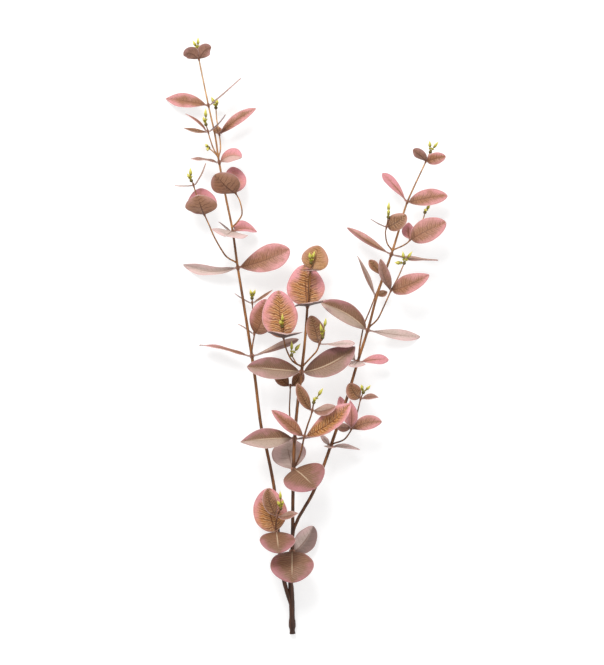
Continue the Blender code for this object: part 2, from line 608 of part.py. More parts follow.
def stem(name, lines):
    """A stem with the twigs that grow from it and, on the main stem, its forks."""
    meshes = [tube(lines[name], STEM_RESOLUTION)]
    meshes += [tube(lines[twig], TWIG_RESOLUTION) for twig, spec in TWIGS.items() if spec[0] == name]
    if name == "main_stem":
        for radius, points in FORKS:
            meshes.append(tube(smooth(tapered(points, radius, radius)), STEM_RESOLUTION))
    return joined(name, meshes, "stem", lines[name][0][0])


def leaves(name, line, distance, specs):
    """The leaves at one place, grown together in a sleeve round their stem."""
    node, direction, radius = along(line, distance)
    inner = (radius + FIT_GAP) / math.cos(math.pi / SLEEVE_SIDES)
    outer = inner + SLEEVE_WALL
    half = SLEEVE_HEIGHT / 2
    profile = [(inner, -half), (outer, -half), (outer, half), (inner, half), (inner, -half)]
    meshes = [turned(profile, SLEEVE_SIDES, node, direction)]
    for spec in specs:
        meshes.append(blade(spec, midrib_bends(spec, node, direction, (inner + outer) / 2)))
    return joined(name, meshes, "leaf", node)


def nut_profile(length):
    """A gum nut on its stalk: thin at the foot, swollen over its last stretch, and pointed."""
    swollen = min(length * 0.55, LONGEST_NUT)
    return [
        (0, 0),
        (NUT_STALK_RADIUS, 0),
        (NUT_STALK_RADIUS, length - swollen),
        (NUT_RADIUS, length - swollen * 0.6),
        (NUT_RADIUS * 0.6, length - swollen * 0.25),
        (0, length),
    ]


def gum_nuts(name, line, ways):
    """The gum nuts at the end of a line: a knob, with pointed nuts on short stalks."""
    tip, radius = line[-1]
    direction = (tip - line[-2][0]).normalized()
    start = tip + direction * FIT_GAP
    knob = [
        (0, 0),
        (radius, 0),
        (KNOB_RADIUS, KNOB_HEIGHT * 0.45),
        (KNOB_RADIUS * 0.6, KNOB_HEIGHT * 0.85),
        (0, KNOB_HEIGHT),
    ]
    meshes = [turned(knob, NUT_SIDES, start, direction)]
    foot = start + direction * (KNOB_HEIGHT * 0.45)
    for way in ways:
        stalk = tip + Vector(way) - foot
        meshes.append(turned(nut_profile(stalk.length), NUT_SIDES, foot, stalk.normalized()))
    return joined(name, meshes, "gum_nut", start)


def main():
    """Builds every piece, and moves the sprig's cut end away from the middle of its box."""
    for old in list(bpy.data.objects):
        bpy.data.objects.remove(old)
    lines = smooth_lines()
    pieces = [stem(name, lines) for name in STEMS]
    for name, (line, distance, specs) in LEAVES.items():
        pieces.append(leaves(name, lines[line], distance, specs))
    for name, (line, ways) in GUM_NUTS.items():
        pieces.append(gum_nuts(name, lines[line], ways))
    sprig = bpy.data.objects.new("sprig", None)
    bpy.context.scene.collection.objects.link(sprig)
    sprig.location = (-MIDDLE[0] * MM, -MIDDLE[1] * MM, 0)
    for piece in pieces:
        piece.parent = sprig


main()
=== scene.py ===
"""The looks of the eucalyptus sprig: bark, veined pink leaves and gum nut buds, seen from straight above.

Places in the tables are millimetres from the cut end, with +Y up the sprig and Z the height over the surface.
"""

import math
import random

import bpy
from mathutils import Matrix, Vector, noise


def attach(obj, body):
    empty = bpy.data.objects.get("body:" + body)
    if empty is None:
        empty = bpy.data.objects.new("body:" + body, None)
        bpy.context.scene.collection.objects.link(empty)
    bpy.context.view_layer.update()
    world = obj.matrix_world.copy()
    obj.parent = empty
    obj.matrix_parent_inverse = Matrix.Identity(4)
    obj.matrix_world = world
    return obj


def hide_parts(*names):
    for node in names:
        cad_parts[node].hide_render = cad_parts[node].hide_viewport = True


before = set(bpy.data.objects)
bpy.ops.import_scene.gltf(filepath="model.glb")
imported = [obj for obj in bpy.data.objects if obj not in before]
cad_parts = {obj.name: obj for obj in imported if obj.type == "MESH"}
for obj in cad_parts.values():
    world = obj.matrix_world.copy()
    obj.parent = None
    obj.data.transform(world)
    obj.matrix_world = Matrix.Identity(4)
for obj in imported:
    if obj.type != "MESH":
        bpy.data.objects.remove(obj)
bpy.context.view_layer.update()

MM = 0.001
MIDDLE = (16.5, 358.7)  # the middle of the sprig's box, across and up from the cut end
TO_PLACE = Matrix.Translation((-MIDDLE[0] * MM, -MIDDLE[1] * MM, 0)) @ Matrix.Scale(MM, 4)
DOUBLES = 0.004  # points of one piece that are closer than this are one point

# Camera: straight above, far off behind a long lens
VIEW_MIDDLE = (-0.0051, 0.0043)
VIEW_HEIGHT = 0.798  # what the picture shows from its top to its bottom, at the height of the stems
STEM_LEVEL = 0.027
FLOOR_GLOW = 0.62  # the floor is a light table, as in the photograph, so shadows on it stay faint
SENSOR = 36.0
LENS = 250.0

# Stems
STEM_SIDES = 6  # bevel steps: a stem has 16 sides
TWIG_SIDES = 4
STEP = 1.6  # distance between a stem's rings
SWELL_REACH = 3.2
SWELL = 0.16  # how much a stem swells where leaves grow
FOOT_FLARE = 0.7
FLARE_REACH = 4.0
BARK_DEPTH = 0.13
TIP_ROUNDING = 0.45

# Leaves
BLADE = 0.9
BLADE_AT_ROOT = 1.6
ROOT_HALF_WIDTH = 1.5
WAVE_TURNS = 1.5
WAVE_START = 0.6
FIT_GAP = 0.3
SLEEVE_WALL = 0.9
SLEEVE_SIDES = 6
MARGIN_THICKNESS = 0.14
SWEEP = 0.2  # how far the side veins run forward
VEIN_GAP = 5.5  # distance from one side vein to the next
VEIN_WANDER = 0.35
VEIN_DEPTH = 0.24
VEIN_WIDTH = 0.16
MIDRIB_DEPTH = 0.45
MIDRIB_WIDTH = 1.1
CURL = 0.7
UNDULATION = 0.9
OUTLINE_WANDER = 0.035
ROW = 1.05  # distance between the rows of a blade's grid
COLUMN = 1.9

# Outlines: where the leaf is widest, and how blunt its base and its tip are
ROUND = (0.50, 0.50, 0.50)
OVAL = (0.55, 0.75, 0.60)
LANCE = (0.50, 0.85, 0.90)
SPOON = (0.66, 1.25, 0.55)

# Gum nuts
NUT_RADIUS = 1.9
NUT_STALK_RADIUS = 0.65
LONGEST_NUT = 9.5
KNOB_RADIUS = 2.2
KNOB_HEIGHT = 4.6

# Each stem: its points from foot to tip, (x, y, height), and its radius there
STEMS = {
    "main_stem": [
        ((0, 0, 3.5), 3.7),
        ((-0.3, 4.5, 4.1), 3.1),
        ((-0.4, 9, 4.7), 4.2),
        ((-0.5, 16, 5.6), 4.0),
        ((-0.6, 20, 6.1), 3.4),
        ((-0.9, 38, 8.4), 3.4),
        ((-1.8, 55, 10.5), 3.4),
        ((-2.2, 66, 12), 2.8),
        ((-0.5, 100, 16.5), 2.3),
        ((0.2, 130, 21), 2.1),
        ((0.5, 166, 26), 2.1),
        ((1.2, 199, 29.5), 2.1),
        ((2.6, 236, 32), 2.0),
        ((6, 276, 34), 1.9),
        ((11, 317, 35.5), 1.9),
        ((15, 354, 36), 1.6),
        ((18, 395, 36), 1.5),
        ((21.5, 437, 35), 1.2),
        ((22, 444, 35), 1.1),
    ],
    "left_branch": [
        ((-10.62, 66.2, 13.0), 2.4),
        ((-13.1, 76.8, 13.9), 2.3),
        ((-15.2, 92, 15), 2.1),
        ((-18, 136, 17.5), 2.0),
        ((-22, 176, 18.5), 2.0),
        ((-31, 222, 19.5), 1.9),
        ((-38, 252, 20), 1.9),
        ((-44.5, 304, 21), 1.8),
        ((-49, 336, 22), 1.8),
        ((-59, 400, 24), 1.6),
        ((-66, 443, 25), 1.5),
        ((-72, 486, 25.5), 1.4),
        ((-80, 525, 26), 1.3),
        ((-88.5, 570, 26), 1.2),
        ((-93, 600, 26), 1.1),
        ((-101, 636, 26), 1.0),
        ((-112.5, 692, 27), 0.8),
        ((-113.4, 700, 27), 0.8),
    ],
    "right_branch": [
        ((4.2, 133.5, 21.5), 2.0),
        ((8, 141.9, 21.2), 2.0),
        ((14, 152, 20.4), 2.0),
        ((27, 176, 20), 2.0),
        ((46, 227, 22), 1.9),
        ((64, 280, 24), 1.8),
        ((79, 330, 25), 1.7),
        ((91, 368, 26), 1.6),
        ((102, 409, 26.5), 1.5),
        ((119, 458, 27), 1.4),
        ((128, 487, 27), 1.3),
        ((138, 520, 27), 1.1),
        ((160, 568, 28), 0.8),
        ((164.4, 577.5, 28), 0.8),
    ],
}

# The forks of the main stem that carry the two branches: radius and points
FORKS = [
    (2.5, [(-1.2, 34, 8.2), (-5.2, 46, 10.7), (-8.5, 57.2, 12.2), (-10.5, 65.7, 12.96)]),
    (2.0, [(0.3, 118, 19.5), (1.0, 124.5, 21.2), (2.5, 129.75, 21.6), (4.03, 133.14, 21.5)]),
]

# Each twig: the stem that it grows from, its radius at foot and tip, and its points
TWIGS = {
    "left_twig_1": ("left_branch", 1.0, 0.7, [
        (-49.3, 339, 22), (-47.5, 351, 18), (-46, 361, 15), (-46.8, 376, 12), (-48, 390, 12),
        (-48.6, 402, 12),
    ]),
    "left_twig_2": ("left_branch", 1.0, 0.7, [
        (-67, 447, 25), (-78, 453, 29), (-85, 462, 31), (-94, 478, 31), (-100, 492, 31),
        (-106, 505, 31), (-112, 519, 33), (-117, 534, 34), (-119, 541, 35), (-120, 543, 35),
    ]),
    "left_twig_3": ("left_branch", 1.0, 0.7, [
        (-72.5, 489, 25.5), (-65, 497, 29), (-60.5, 506, 31), (-63, 520, 32), (-68, 530, 33),
        (-69, 533, 33.5),
    ]),
    "left_twig_4": ("left_branch", 0.9, 0.7, [
        (-89.3, 574, 26), (-94, 579, 31), (-99, 583, 35),
    ]),
    "left_twig_5": ("left_branch", 0.9, 0.7, [
        (-89.3, 574, 26), (-94.5, 583, 30), (-98.5, 594, 33), (-101.5, 605, 34), (-103, 610, 34),
    ]),
    "left_twig_6": ("left_branch", 0.9, 0.7, [
        (-89, 573, 26), (-86.5, 584, 22), (-88, 602, 18), (-91, 618, 16), (-92, 631, 15),
    ]),
    "centre_twig_1": ("main_stem", 1.3, 0.9, [
        (-0.4, 104, 17.5), (-11, 112, 22), (-19, 123, 27), (-20, 132, 30), (-18, 143, 33),
        (-15, 150, 34),
    ]),
    "centre_twig_2": ("main_stem", 1.2, 0.9, [
        (1.4, 200, 30), (9, 216, 37), (14, 238, 43), (18, 252, 46), (22.5, 265, 47.5),
        (25, 277, 48.5),
    ]),
    "centre_twig_3": ("main_stem", 1.0, 0.8, [
        (2.6, 238, 31), (-2, 252, 27), (-3.6, 269, 26), (-3, 286, 26), (-2.5, 301, 26),
    ]),
    "centre_twig_4": ("main_stem", 0.9, 0.8, [
        (11.3, 322, 36), (5, 326, 44), (0, 334, 49),
    ]),
    "centre_twig_5": ("main_stem", 1.1, 0.8, [
        (11.3, 322, 36), (0, 329, 41), (-7, 342, 43), (-10.8, 357, 43), (-12, 368, 43),
    ]),
    "centre_twig_6": ("main_stem", 1.1, 0.8, [
        (11.6, 322, 36), (21, 332, 43), (29, 341, 46), (32.5, 350, 47), (35, 355, 48),
    ]),
    "right_twig_1": ("right_branch", 1.0, 0.7, [
        (47, 229, 22.5), (61, 234, 27), (68, 242, 29), (71, 248, 29), (76, 260, 27), (79, 272, 27),
        (82, 284, 28), (84, 289, 29),
    ]),
    "right_twig_2": ("right_branch", 1.0, 0.7, [
        (79, 331, 25), (81.5, 350, 19), (86, 372, 17), (93, 390, 17), (100, 408, 17),
        (106, 424, 17), (109, 434, 18),
    ]),
    "right_twig_3": ("right_branch", 1.0, 0.7, [
        (91.5, 369, 26), (102, 379, 31), (109, 393, 34), (118, 413, 36), (126, 428, 34),
        (130.5, 438, 34), (133, 444, 34),
    ]),
    "right_twig_4": ("right_branch", 0.9, 0.7, [
        (119.5, 462, 27), (113.5, 470, 31), (111.5, 482, 33), (112.8, 490, 34.5), (114.3, 499, 37),
    ]),
    "right_twig_5": ("right_branch", 0.9, 0.7, [
        (120.3, 462, 27), (130, 466, 31), (137, 470, 33), (142, 475.5, 33), (150, 488, 28),
        (157, 500, 26), (158.5, 505, 26),
    ]),
}


def leaf(reach, wide, face, via=(0, 0, 0), shape=OVAL, fold=12, twist=0, wave=0):
    """One leaf of the table below.

    reach is the way from its stem to its tip, and face where its upper side looks.
    via is how far its midrib bows from the straight way. fold lifts its two halves and
    twist turns it towards the tip, in degrees. wave is the height of its margins' waves.
    """
    return {
        "reach": Vector(reach),
        "wide": wide,
        "face": Vector(face),
        "via": Vector(via),
        "shape": shape,
        "fold": math.radians(fold),
        "twist": math.radians(twist),
        "wave": wave,
    }


# The leaves that grow at one place: the stem or twig, the distance up from the cut end, and each leaf
LEAVES = {
    "left_leaves_01": ("left_branch", 335, [
        leaf((-63, 13, -8), 19, (0.0, 1.0, 0.55), via=(0, 2, 2), shape=SPOON, twist=35, wave=1.0),
        leaf((56, 20, -6), 20, (-0.2, 1.0, 0.4), via=(0, -3, 0), shape=SPOON, twist=15),
    ]),
    "left_leaves_02": ("left_twig_1", 362, [
        leaf((13, 41, 4), 31, (0.0, 0.1, 1.0), via=(6, -4, 6), shape=ROUND, fold=6),
        leaf((-19, 11, 1), 11, (0.4, 0.9, 0.05), fold=6),
    ]),
    "left_leaves_03": ("left_twig_1", 399, [
        leaf((-21, 11, -4), 8, (0.4, 0.9, 0.1), fold=6, via=(0, -3, 0)),
        leaf((24, 15, -2), 9, (-0.5, 0.8, 0.4), fold=6, via=(0, -2, 0)),
    ]),
    "left_leaves_04": ("left_branch", 441, [
        leaf((-66, 4, -29), 17, (0.0, 0.8, 0.75), via=(2, -13, -5), wave=1.0, twist=-15),
        leaf((62, 22, 6), 34, (-0.1, 0.25, 1.0), via=(4, -4, 2), shape=(0.62, 0.85, 0.55), fold=12),
    ]),
    "left_leaves_05": ("left_branch", 484, [
        leaf((29, 0, -14), 25, (0.0, 0.75, 0.65), via=(-4, 8, 3), shape=LANCE, fold=20),
        leaf((-8, -6, 42), 46, (0.2, 1.0, 0.2), via=(0, 1, 4), shape=ROUND, fold=4, wave=1.0),
        leaf((-17, 12, -10), 12, (0.5, 0.8, 0.1), via=(0, -2, 0)),
    ]),
    "left_leaves_06": ("left_twig_2", 505, [
        leaf((-7, 22, 20), 40, (0.1, 0.8, -0.65), via=(0, -4, 6), shape=(0.5, 0.6, 0.5), fold=-6),
        leaf((-5, 31, -6), 36, (0.0, 0.2, 1.0), via=(0, -6, -7), shape=ROUND, fold=6),
    ]),
    "left_leaves_07": ("left_twig_2", 540, [
        leaf((-22, -1, 4), 11, (0.0, 1.0, 0.12), via=(0, -2, 0), fold=5),
        leaf((15, 26, 4), 11, (-0.85, 0.5, 0.15), via=(3, -3, 0), fold=5),
    ]),
    "left_leaves_08": ("left_twig_3", 531, [
        leaf((-24, 21, 18), 38, (0.35, 0.5, -0.9), via=(0, -4, 6), shape=ROUND, fold=-8),
        leaf((-5, 31, -22), 28, (0.0, 0.4, 1.0), via=(3, -4, -9), shape=ROUND, fold=8),
    ]),
    "left_leaves_09": ("left_branch", 567.5, [
        leaf((-34, 4, 3), 19, (0.05, 1.0, 0.25), via=(0, 2, 0), shape=LANCE, fold=6, wave=0.8),
        leaf((27, 5, 8), 25, (-0.1, 0.75, 0.75), via=(0, 9, 2), shape=OVAL, fold=10),
    ]),
    "left_leaves_10": ("left_twig_5", 604, [
        leaf((-29, 4, 5), 14, (0.0, 1.0, 0.5), via=(0, -4, 0), shape=LANCE, fold=12),
        leaf((21, 20, 3), 13, (-0.7, 0.7, 0.15), via=(3, -3, 0), fold=5),
        leaf((-27, 21, 0), 8, (0.6, 0.8, 0.5), via=(4, 2, 0), shape=LANCE, fold=8),
    ]),
    "left_leaves_11": ("left_twig_6", 602, [
        leaf((44, 30, 7), 15, (-0.2, 0.4, 1.0), via=(-4, 2, 2), fold=10),
        leaf((-4, 10, -13), 12, (0.0, 0.8, 0.6), via=(0, -3, -2), fold=8),
    ]),
    "left_leaves_12": ("left_branch", 636, [
        leaf((-52, 9, -24), 21, (0.1, 0.45, 1.0), via=(6, 0, -2), shape=(0.64, 1.1, 0.85), fold=14),
        leaf((39, 32, 5), 18, (-0.62, 0.78, 0.1), via=(0, -3, 2), fold=4),
    ]),
    "left_leaves_13": ("left_branch", 692, [
        leaf((-18, 3, 8), 19, (-0.3, 0.8, -0.8), via=(-1, 9, 2), shape=ROUND, fold=-8),
        leaf((15, 13, 5), 17, (0.4, 0.8, -0.9), via=(-1, 5, 4), shape=ROUND, fold=-8),
    ]),
    "centre_leaves_01": ("main_stem", 100, [
        leaf((0, -36, 32), 53, (0.0, 0.7, 0.8), via=(0, 4, 9), shape=ROUND, fold=5),
        leaf((25, 30, -8), 27, (0.3, 0.1, 1.0), via=(4, -6, -5), shape=ROUND, fold=14),
    ]),
    "centre_leaves_02": ("centre_twig_1", 124, [
        leaf((-9, 52, -4), 41, (0.1, 0.1, 1.0), via=(-6, -6, -8), shape=ROUND, fold=6),
        leaf((3, -24, 34), 43, (0.0, 0.85, 0.55), via=(0, 4, 8), shape=ROUND, fold=5),
    ]),
    "centre_leaves_03": ("centre_twig_1", 143, [
        leaf((-12, 33, 4), 19, (0.3, 0.1, 1.0), via=(-5, -3, 2), shape=OVAL, fold=14),
        leaf((25, 4, 12), 17, (0.0, 1.0, 0.8), via=(0, -4, 0), shape=LANCE, fold=14),
    ]),
    "centre_leaves_04": ("main_stem", 199, [
        leaf((26, -22, 28), 55, (0.0, 0.7, 0.9), via=(0, 4, 8), shape=ROUND, fold=6),
        leaf((-9, 36, -18), 42, (0.0, 0.3, 1.0), via=(0, -8, -8), shape=(0.62, 0.8, 0.5), fold=8),
    ]),
    "centre_leaves_05": ("main_stem", 236, [
        leaf((-65, -4, 8), 28, (0.0, 0.5, 1.0), via=(0, 3, 6), shape=LANCE, fold=14),
        leaf((43, 8, 0), 20, (0.0, 1.0, 0.15), via=(0, -4, 0), fold=6),
    ]),
    "centre_leaves_06": ("centre_twig_2", 239, [
        leaf((-39, 31, 8), 20, (0.35, 0.6, 1.0), via=(4, -5, 2), shape=OVAL, fold=14),
        leaf((55, 39, 12), 29, (-0.3, 0.45, 1.0), via=(4, -8, 4), shape=(0.60, 0.80, 0.65), fold=22),
    ]),
    "centre_leaves_07": ("centre_twig_2", 270, [
        leaf((-18, 32, 6), 17, (0.5, 0.4, 1.0), via=(-3, -4, 2), shape=OVAL, fold=14),
        leaf((28, 5, 10), 18, (0.0, 0.8, 1.0), via=(0, -6, 0), shape=OVAL, fold=14),
    ]),
    "centre_leaves_08": ("centre_twig_3", 299, [
        leaf((-17, 18, -4), 17, (0.2, 0.2, 1.0), via=(-2, -3, 0), fold=10),
        leaf((14, 17, -4), 15, (-0.2, 0.2, 1.0), via=(3, -3, 0), fold=10),
    ]),
    "centre_leaves_09": ("main_stem", 316, [
        leaf((-65, 6, 7), 30, (0.0, 0.45, 1.0), via=(2, 0, 5), shape=OVAL, fold=14),
        leaf((64, 30, 8), 33, (0.05, 0.35, 1.0), via=(5, -9, 5), shape=(0.52, 0.65, 0.75), fold=12),
    ]),
    "centre_leaves_10": ("centre_twig_5", 357, [
        leaf((-6, 56, -3), 43, (0.0, 0.05, 1.0), via=(-2, -6, -7), shape=ROUND, fold=6),
        leaf((5, 4, 36), 43, (0.0, 1.0, -0.12), via=(0, 3, 0), shape=ROUND, fold=-10),
    ]),
    "centre_leaves_11": ("centre_twig_6", 350, [
        leaf((-11, 33, -3), 22, (0.0, 0.15, 1.0), via=(2, -4, -5), shape=ROUND, fold=8),
        leaf((42, 0, 4), 14, (0.0, 1.0, 0.25), via=(0, -2, 0), shape=SPOON, twist=45, fold=8),
    ]),
    "centre_leaves_12": ("main_stem", 395, [
        leaf((-4, 49, -4), 46, (0.0, 0.1, 1.0), via=(0, -8, -8), shape=ROUND, fold=6),
        leaf((6, 4, 36), 40, (-0.15, 1.0, 0.08), via=(0, 1, 0), shape=ROUND, fold=4, wave=1.0),
    ]),
    "centre_leaves_13": ("main_stem", 438, [
        leaf((10, 29, -2), 33, (0.0, 0.15, 1.0), via=(0, -5, -6), shape=ROUND, fold=6),
        leaf((2, -1, 22), 22, (0.0, 1.0, 0.1), via=(0, 0, 0), shape=ROUND, fold=4),
    ]),
    "right_leaves_01": ("right_branch", 227, [
        leaf((35, -5, -4), 15, (0.0, 1.0, 0.4), via=(0, 3, 0), shape=LANCE, fold=8),
        leaf((-12, 14, -6), 12, (0.5, 0.6, 0.5), via=(0, -2, 0), fold=8),
        leaf((-2, -2, 22), 15, (0.1, 1.0, 0.1), fold=6),
    ]),
    "right_leaves_02": ("right_twig_1", 248, [
        leaf((36, 8, 4), 19, (-0.05, 0.35, 1.0), via=(-2, 5, 2), shape=OVAL, fold=10),
        leaf((-2, 34, 6), 16, (0.4, 0.1, 1.0), via=(2, -3, 2), shape=LANCE, fold=14),
        leaf((-18, 3, -4), 12, (0.1, 0.4, 1.0), via=(0, -2, 0), fold=8),
        leaf((-14, 38, -15), 13, (0.1, 0.1, 1.0), via=(-2, -4, -7), shape=SPOON, fold=8),
    ]),
    "right_leaves_03": ("right_twig_1", 284, [
        leaf((-14, 18, 0), 20, (0.2, 0.2, 1.0), via=(-2, -4, -3), shape=ROUND, fold=10),
        leaf((21, 1, 5), 10, (0.0, 0.7, 0.8), via=(0, 3, 0), shape=LANCE, fold=10),
    ]),
    "right_leaves_04": ("right_branch", 328, [
        leaf((37, 2, -6), 15, (0.0, 0.7, 0.9), via=(0, 3, 0), shape=SPOON, fold=8, twist=10),
        leaf((-17, 24, -6), 16, (0.3, 0.3, 1.0), via=(-2, -4, -3), shape=SPOON, fold=8),
        leaf((-6, -6, 28), 24, (0.1, 1.0, 0.1), shape=ROUND, fold=5),
    ]),
    "right_leaves_05": ("right_branch", 366, [
        leaf((-56, 33, 5), 27, (0.1, 0.4, 1.0), via=(8, 4, 4), shape=OVAL, fold=18),
        leaf((63, -8, -30), 18, (0.0, 0.65, 0.8), via=(0, -3, -2), shape=SPOON, fold=8),
    ]),
    "right_leaves_06": ("right_twig_2", 408, [
        leaf((-22, 47, 2), 12, (-0.8, -0.3, 0.5), via=(3, -3, 0), shape=LANCE, fold=4),
        leaf((14, 4, -6), 11, (0.0, 0.6, 0.8), via=(0, -1, -2), fold=8),
    ]),
    "right_leaves_07": ("right_twig_2", 431, [
        leaf((-16, 19, 1), 13, (0.4, 0.3, 1.0), via=(0, 0, 0), shape=SPOON, fold=8),
    ]),
    "right_leaves_08": ("right_twig_3", 414, [
        leaf((-13, 37, 10), 22, (0.8, 0.2, -0.6), via=(-3, -6, 3), shape=OVAL, fold=-10),
        leaf((45, 18, 8), 26, (-0.1, 0.5, 1.0), via=(2, -3, 5), shape=(0.38, 0.50, 0.65), fold=14),
    ]),
    "right_leaves_09": ("right_branch", 457, [
        leaf((-53, 32, -6), 17, (0.5, 0.7, 0.8), via=(2, -4, 0), shape=SPOON, fold=12, twist=12),
        leaf((56, -7, 3), 14, (0.0, 1.0, 0.35), via=(-4, -4, 0), shape=OVAL, fold=8, wave=1.0),
    ]),
    "right_leaves_10": ("right_twig_4", 490, [
        leaf((23, 14, 4), 22, (-0.1, 0.3, 1.0), via=(0, -4, 3), shape=ROUND, fold=10),
        leaf((-19, 9, -4), 9, (0.4, 0.9, 0.05), via=(0, -2, 0), fold=5),
    ]),
    "right_leaves_11": ("right_twig_5", 475, [
        leaf((42, 20, 4), 30, (-0.1, 0.3, 1.0), via=(-4, 0, 5), shape=ROUND, fold=8),
        leaf((-2, 20, -10), 16, (0.1, 0.4, 1.0), via=(-3, -4, -4), fold=8),
    ]),
    "right_leaves_12": ("right_branch", 520, [
        leaf((-30, 34, -4), 14, (0.4, 0.3, 1.0), via=(4, -1, 0), shape=(0.76, 1.3, 0.5), fold=8),
        leaf((48, 7, -3), 24, (-0.05, 0.55, 1.0), via=(-2, 2, 3), shape=(0.56, 0.65, 0.55), fold=10),
    ]),
    "right_leaves_13": ("right_branch", 569, [
        leaf((-16, 13, 6), 16, (0.5, 0.6, -0.9), via=(0, 2, 5), shape=ROUND, fold=-6),
        leaf((23, 5, 7), 15, (0.1, 0.1, 1.0), via=(-2, 0, 6), shape=ROUND, fold=8),
    ]),
}

# The gum nuts at the end of a stem or twig: the way from its tip to the point of each nut
GUM_NUTS = {
    "left_gum_nuts_1": ("left_twig_1", [(-2.5, 13, 3), (4, 13, -1)]),
    "left_gum_nuts_2": ("left_twig_2", [(-6, 11, 2), (-2.5, 18, 0)]),
    "left_gum_nuts_3": ("left_twig_4", [(-5.5, 6, 3), (-3, -1.5, 9)]),
    "left_gum_nuts_4": ("left_twig_5", [(-4, 12, 2), (-1, 22, 0)]),
    "left_gum_nuts_5": ("left_twig_6", [(-6, 16, 2), (2, 13, -2)]),
    "left_gum_nuts_6": ("left_branch", [(-6.5, 14, 0), (0, 18, 1)]),
    "centre_gum_nuts_1": ("centre_twig_1", [(0, 24, 4), (4, 13, -2), (-3, 12, 5)]),
    "centre_gum_nuts_2": ("centre_twig_2", [(2, 9, 5), (12, 20, 2)]),
    "centre_gum_nuts_3": ("centre_twig_4", [(-1, 19, 4), (10, 16, 2)]),
    "centre_gum_nuts_4": ("centre_twig_5", [(0, 18, 3), (-3, 10, 6)]),
    "centre_gum_nuts_5": ("centre_twig_6", [(5, 26, 3), (-2, 19, 4)]),
    "centre_gum_nuts_6": ("main_stem", [(-2, 15, 5), (5, 17, 3)]),
    "right_gum_nuts_1": ("right_twig_1", [(-2, 12, 5), (10, 11, 3)]),
    "right_gum_nuts_2": ("right_twig_3", [(-1, 17, 3), (11, 17, 2), (-11, 3, 3)]),
    "right_gum_nuts_3": ("right_twig_4", [(1.5, 21, 0), (1, 12, 5)]),
    "right_gum_nuts_4": ("right_twig_5", [(1.5, 7, 3), (7, 12, 0)]),
    "right_gum_nuts_5": ("right_branch", [(0, 16, 2), (11, 15, 2)]),
}

# The finish that each leaf shows from above, and the painted light (+) or painted shade (-) on its two halves
# there:
# first the half that lies further up the sprig, then the other
FINISHES = {
    "left_leaves_01": [("rosy", -0.3, 0.1), ("mauve", 0.5, -0.6)],
    "left_leaves_02": [("rosy", 0.0, 0.2), ("brown", 0.0, 0.0)],
    "left_leaves_03": [("dark", 0.0, 0.0), ("brown", 0.0, 0.0)],
    "left_leaves_04": [("pale", -0.5, 0.2), ("rosy", -0.1, 0.1)],
    "left_leaves_05": [("pink", -0.1, -0.1), ("pale", 0.0, 0.1), ("dark", 0.3, 0.0)],
    "left_leaves_06": [("tan", 0.0, 0.0), ("pink", 0.0, 0.0)],
    "left_leaves_07": [("brown", 0.2, 0.0), ("brown", 0.2, 0.0)],
    "left_leaves_08": [("tan", 0.1, 0.0), ("pink", 0.0, 0.0)],
    "left_leaves_09": [("mauve", -0.1, 0.1), ("pink", 0.1, 0.6)],
    "left_leaves_10": [("brown", -0.1, 0.3), ("dark", 0.2, 0.0), ("rosy", 0.0, -0.3)],
    "left_leaves_11": [("rosy", 0.1, 0.0), ("brown", 0.0, 0.0)],
    "left_leaves_12": [("rosy", -0.2, 0.0), ("mauve", -0.3, 0.0)],
    "left_leaves_13": [("mauve", 0.0, 0.0), ("mauve", -0.1, 0.0)],
    "centre_leaves_01": [("dusky", 0.1, -0.1), ("pale", 0.0, -0.7)],
    "centre_leaves_02": [("golden", 0.0, 0.0), ("dusky", 0.0, 0.1)],
    "centre_leaves_03": [("brown", -0.1, 0.1), ("mauve", 0.3, 0.0)],
    "centre_leaves_04": [("dusky", -0.1, 0.1), ("pale", -0.3, -0.2)],
    "centre_leaves_05": [("dusky", -0.2, 0.6), ("dark", 0.0, 0.0)],
    "centre_leaves_06": [("rosy", 0.0, 0.1), ("golden", -0.2, 0.0)],
    "centre_leaves_07": [("brown", 0.0, 0.0), ("mauve", 0.4, -0.1)],
    "centre_leaves_08": [("brown", -0.3, -0.1), ("brown", -0.2, 0.0)],
    "centre_leaves_09": [("dusky", -0.4, 0.4), ("dusky", -0.5, 0.3)],
    "centre_leaves_10": [("golden", 0.0, 0.0), ("dark", 0.1, -0.1)],
    "centre_leaves_11": [("brown", 0.0, -0.1), ("pale", 0.1, -0.1)],
    "centre_leaves_12": [("golden", 0.0, 0.0), ("dark", 0.0, 0.0)],
    "centre_leaves_13": [("amber", 0.0, 0.0), ("dark", 0.3, 0.0)],
    "right_leaves_01": [("pale", 0.0, -0.2), ("pale", 0.0, 0.0), ("mauve", 0.6, 0.3)],
    "right_leaves_02": [("rosy", 0.0, 0.0), ("pink", -0.1, -0.1), ("mauve", 0.2, 0.0), ("pink", 0.0, 0.0)],
    "right_leaves_03": [("brown", 0.0, 0.0), ("mauve", 0.1, -0.2)],
    "right_leaves_04": [("pink", 0.0, 0.0), ("pale", 0.0, -0.1), ("pale", 0.1, -0.1)],
    "right_leaves_05": [("dusky", -0.2, 0.6), ("pale", 0.3, 0.0)],
    "right_leaves_06": [("mauve", 0.5, 0.2), ("brown", 0.2, 0.0)],
    "right_leaves_07": [("brown", 0.1, 0.0)],
    "right_leaves_08": [("mauve", -0.1, 0.0), ("rosy", -0.1, 0.0)],
    "right_leaves_09": [("rosy", 0.3, -0.5), ("mauve", 0.4, -0.5)],
    "right_leaves_10": [("brown", 0.1, 0.0), ("dark", 0.3, 0.0)],
    "right_leaves_11": [("rosy", 0.1, 0.0), ("pink", 0.0, 0.0)],
    "right_leaves_12": [("pink", 0.0, -0.2), ("rosy", 0.0, 0.1)],
    "right_leaves_13": [("mauve", 0.0, -0.1), ("rosy", 0.0, 0.0)],
}
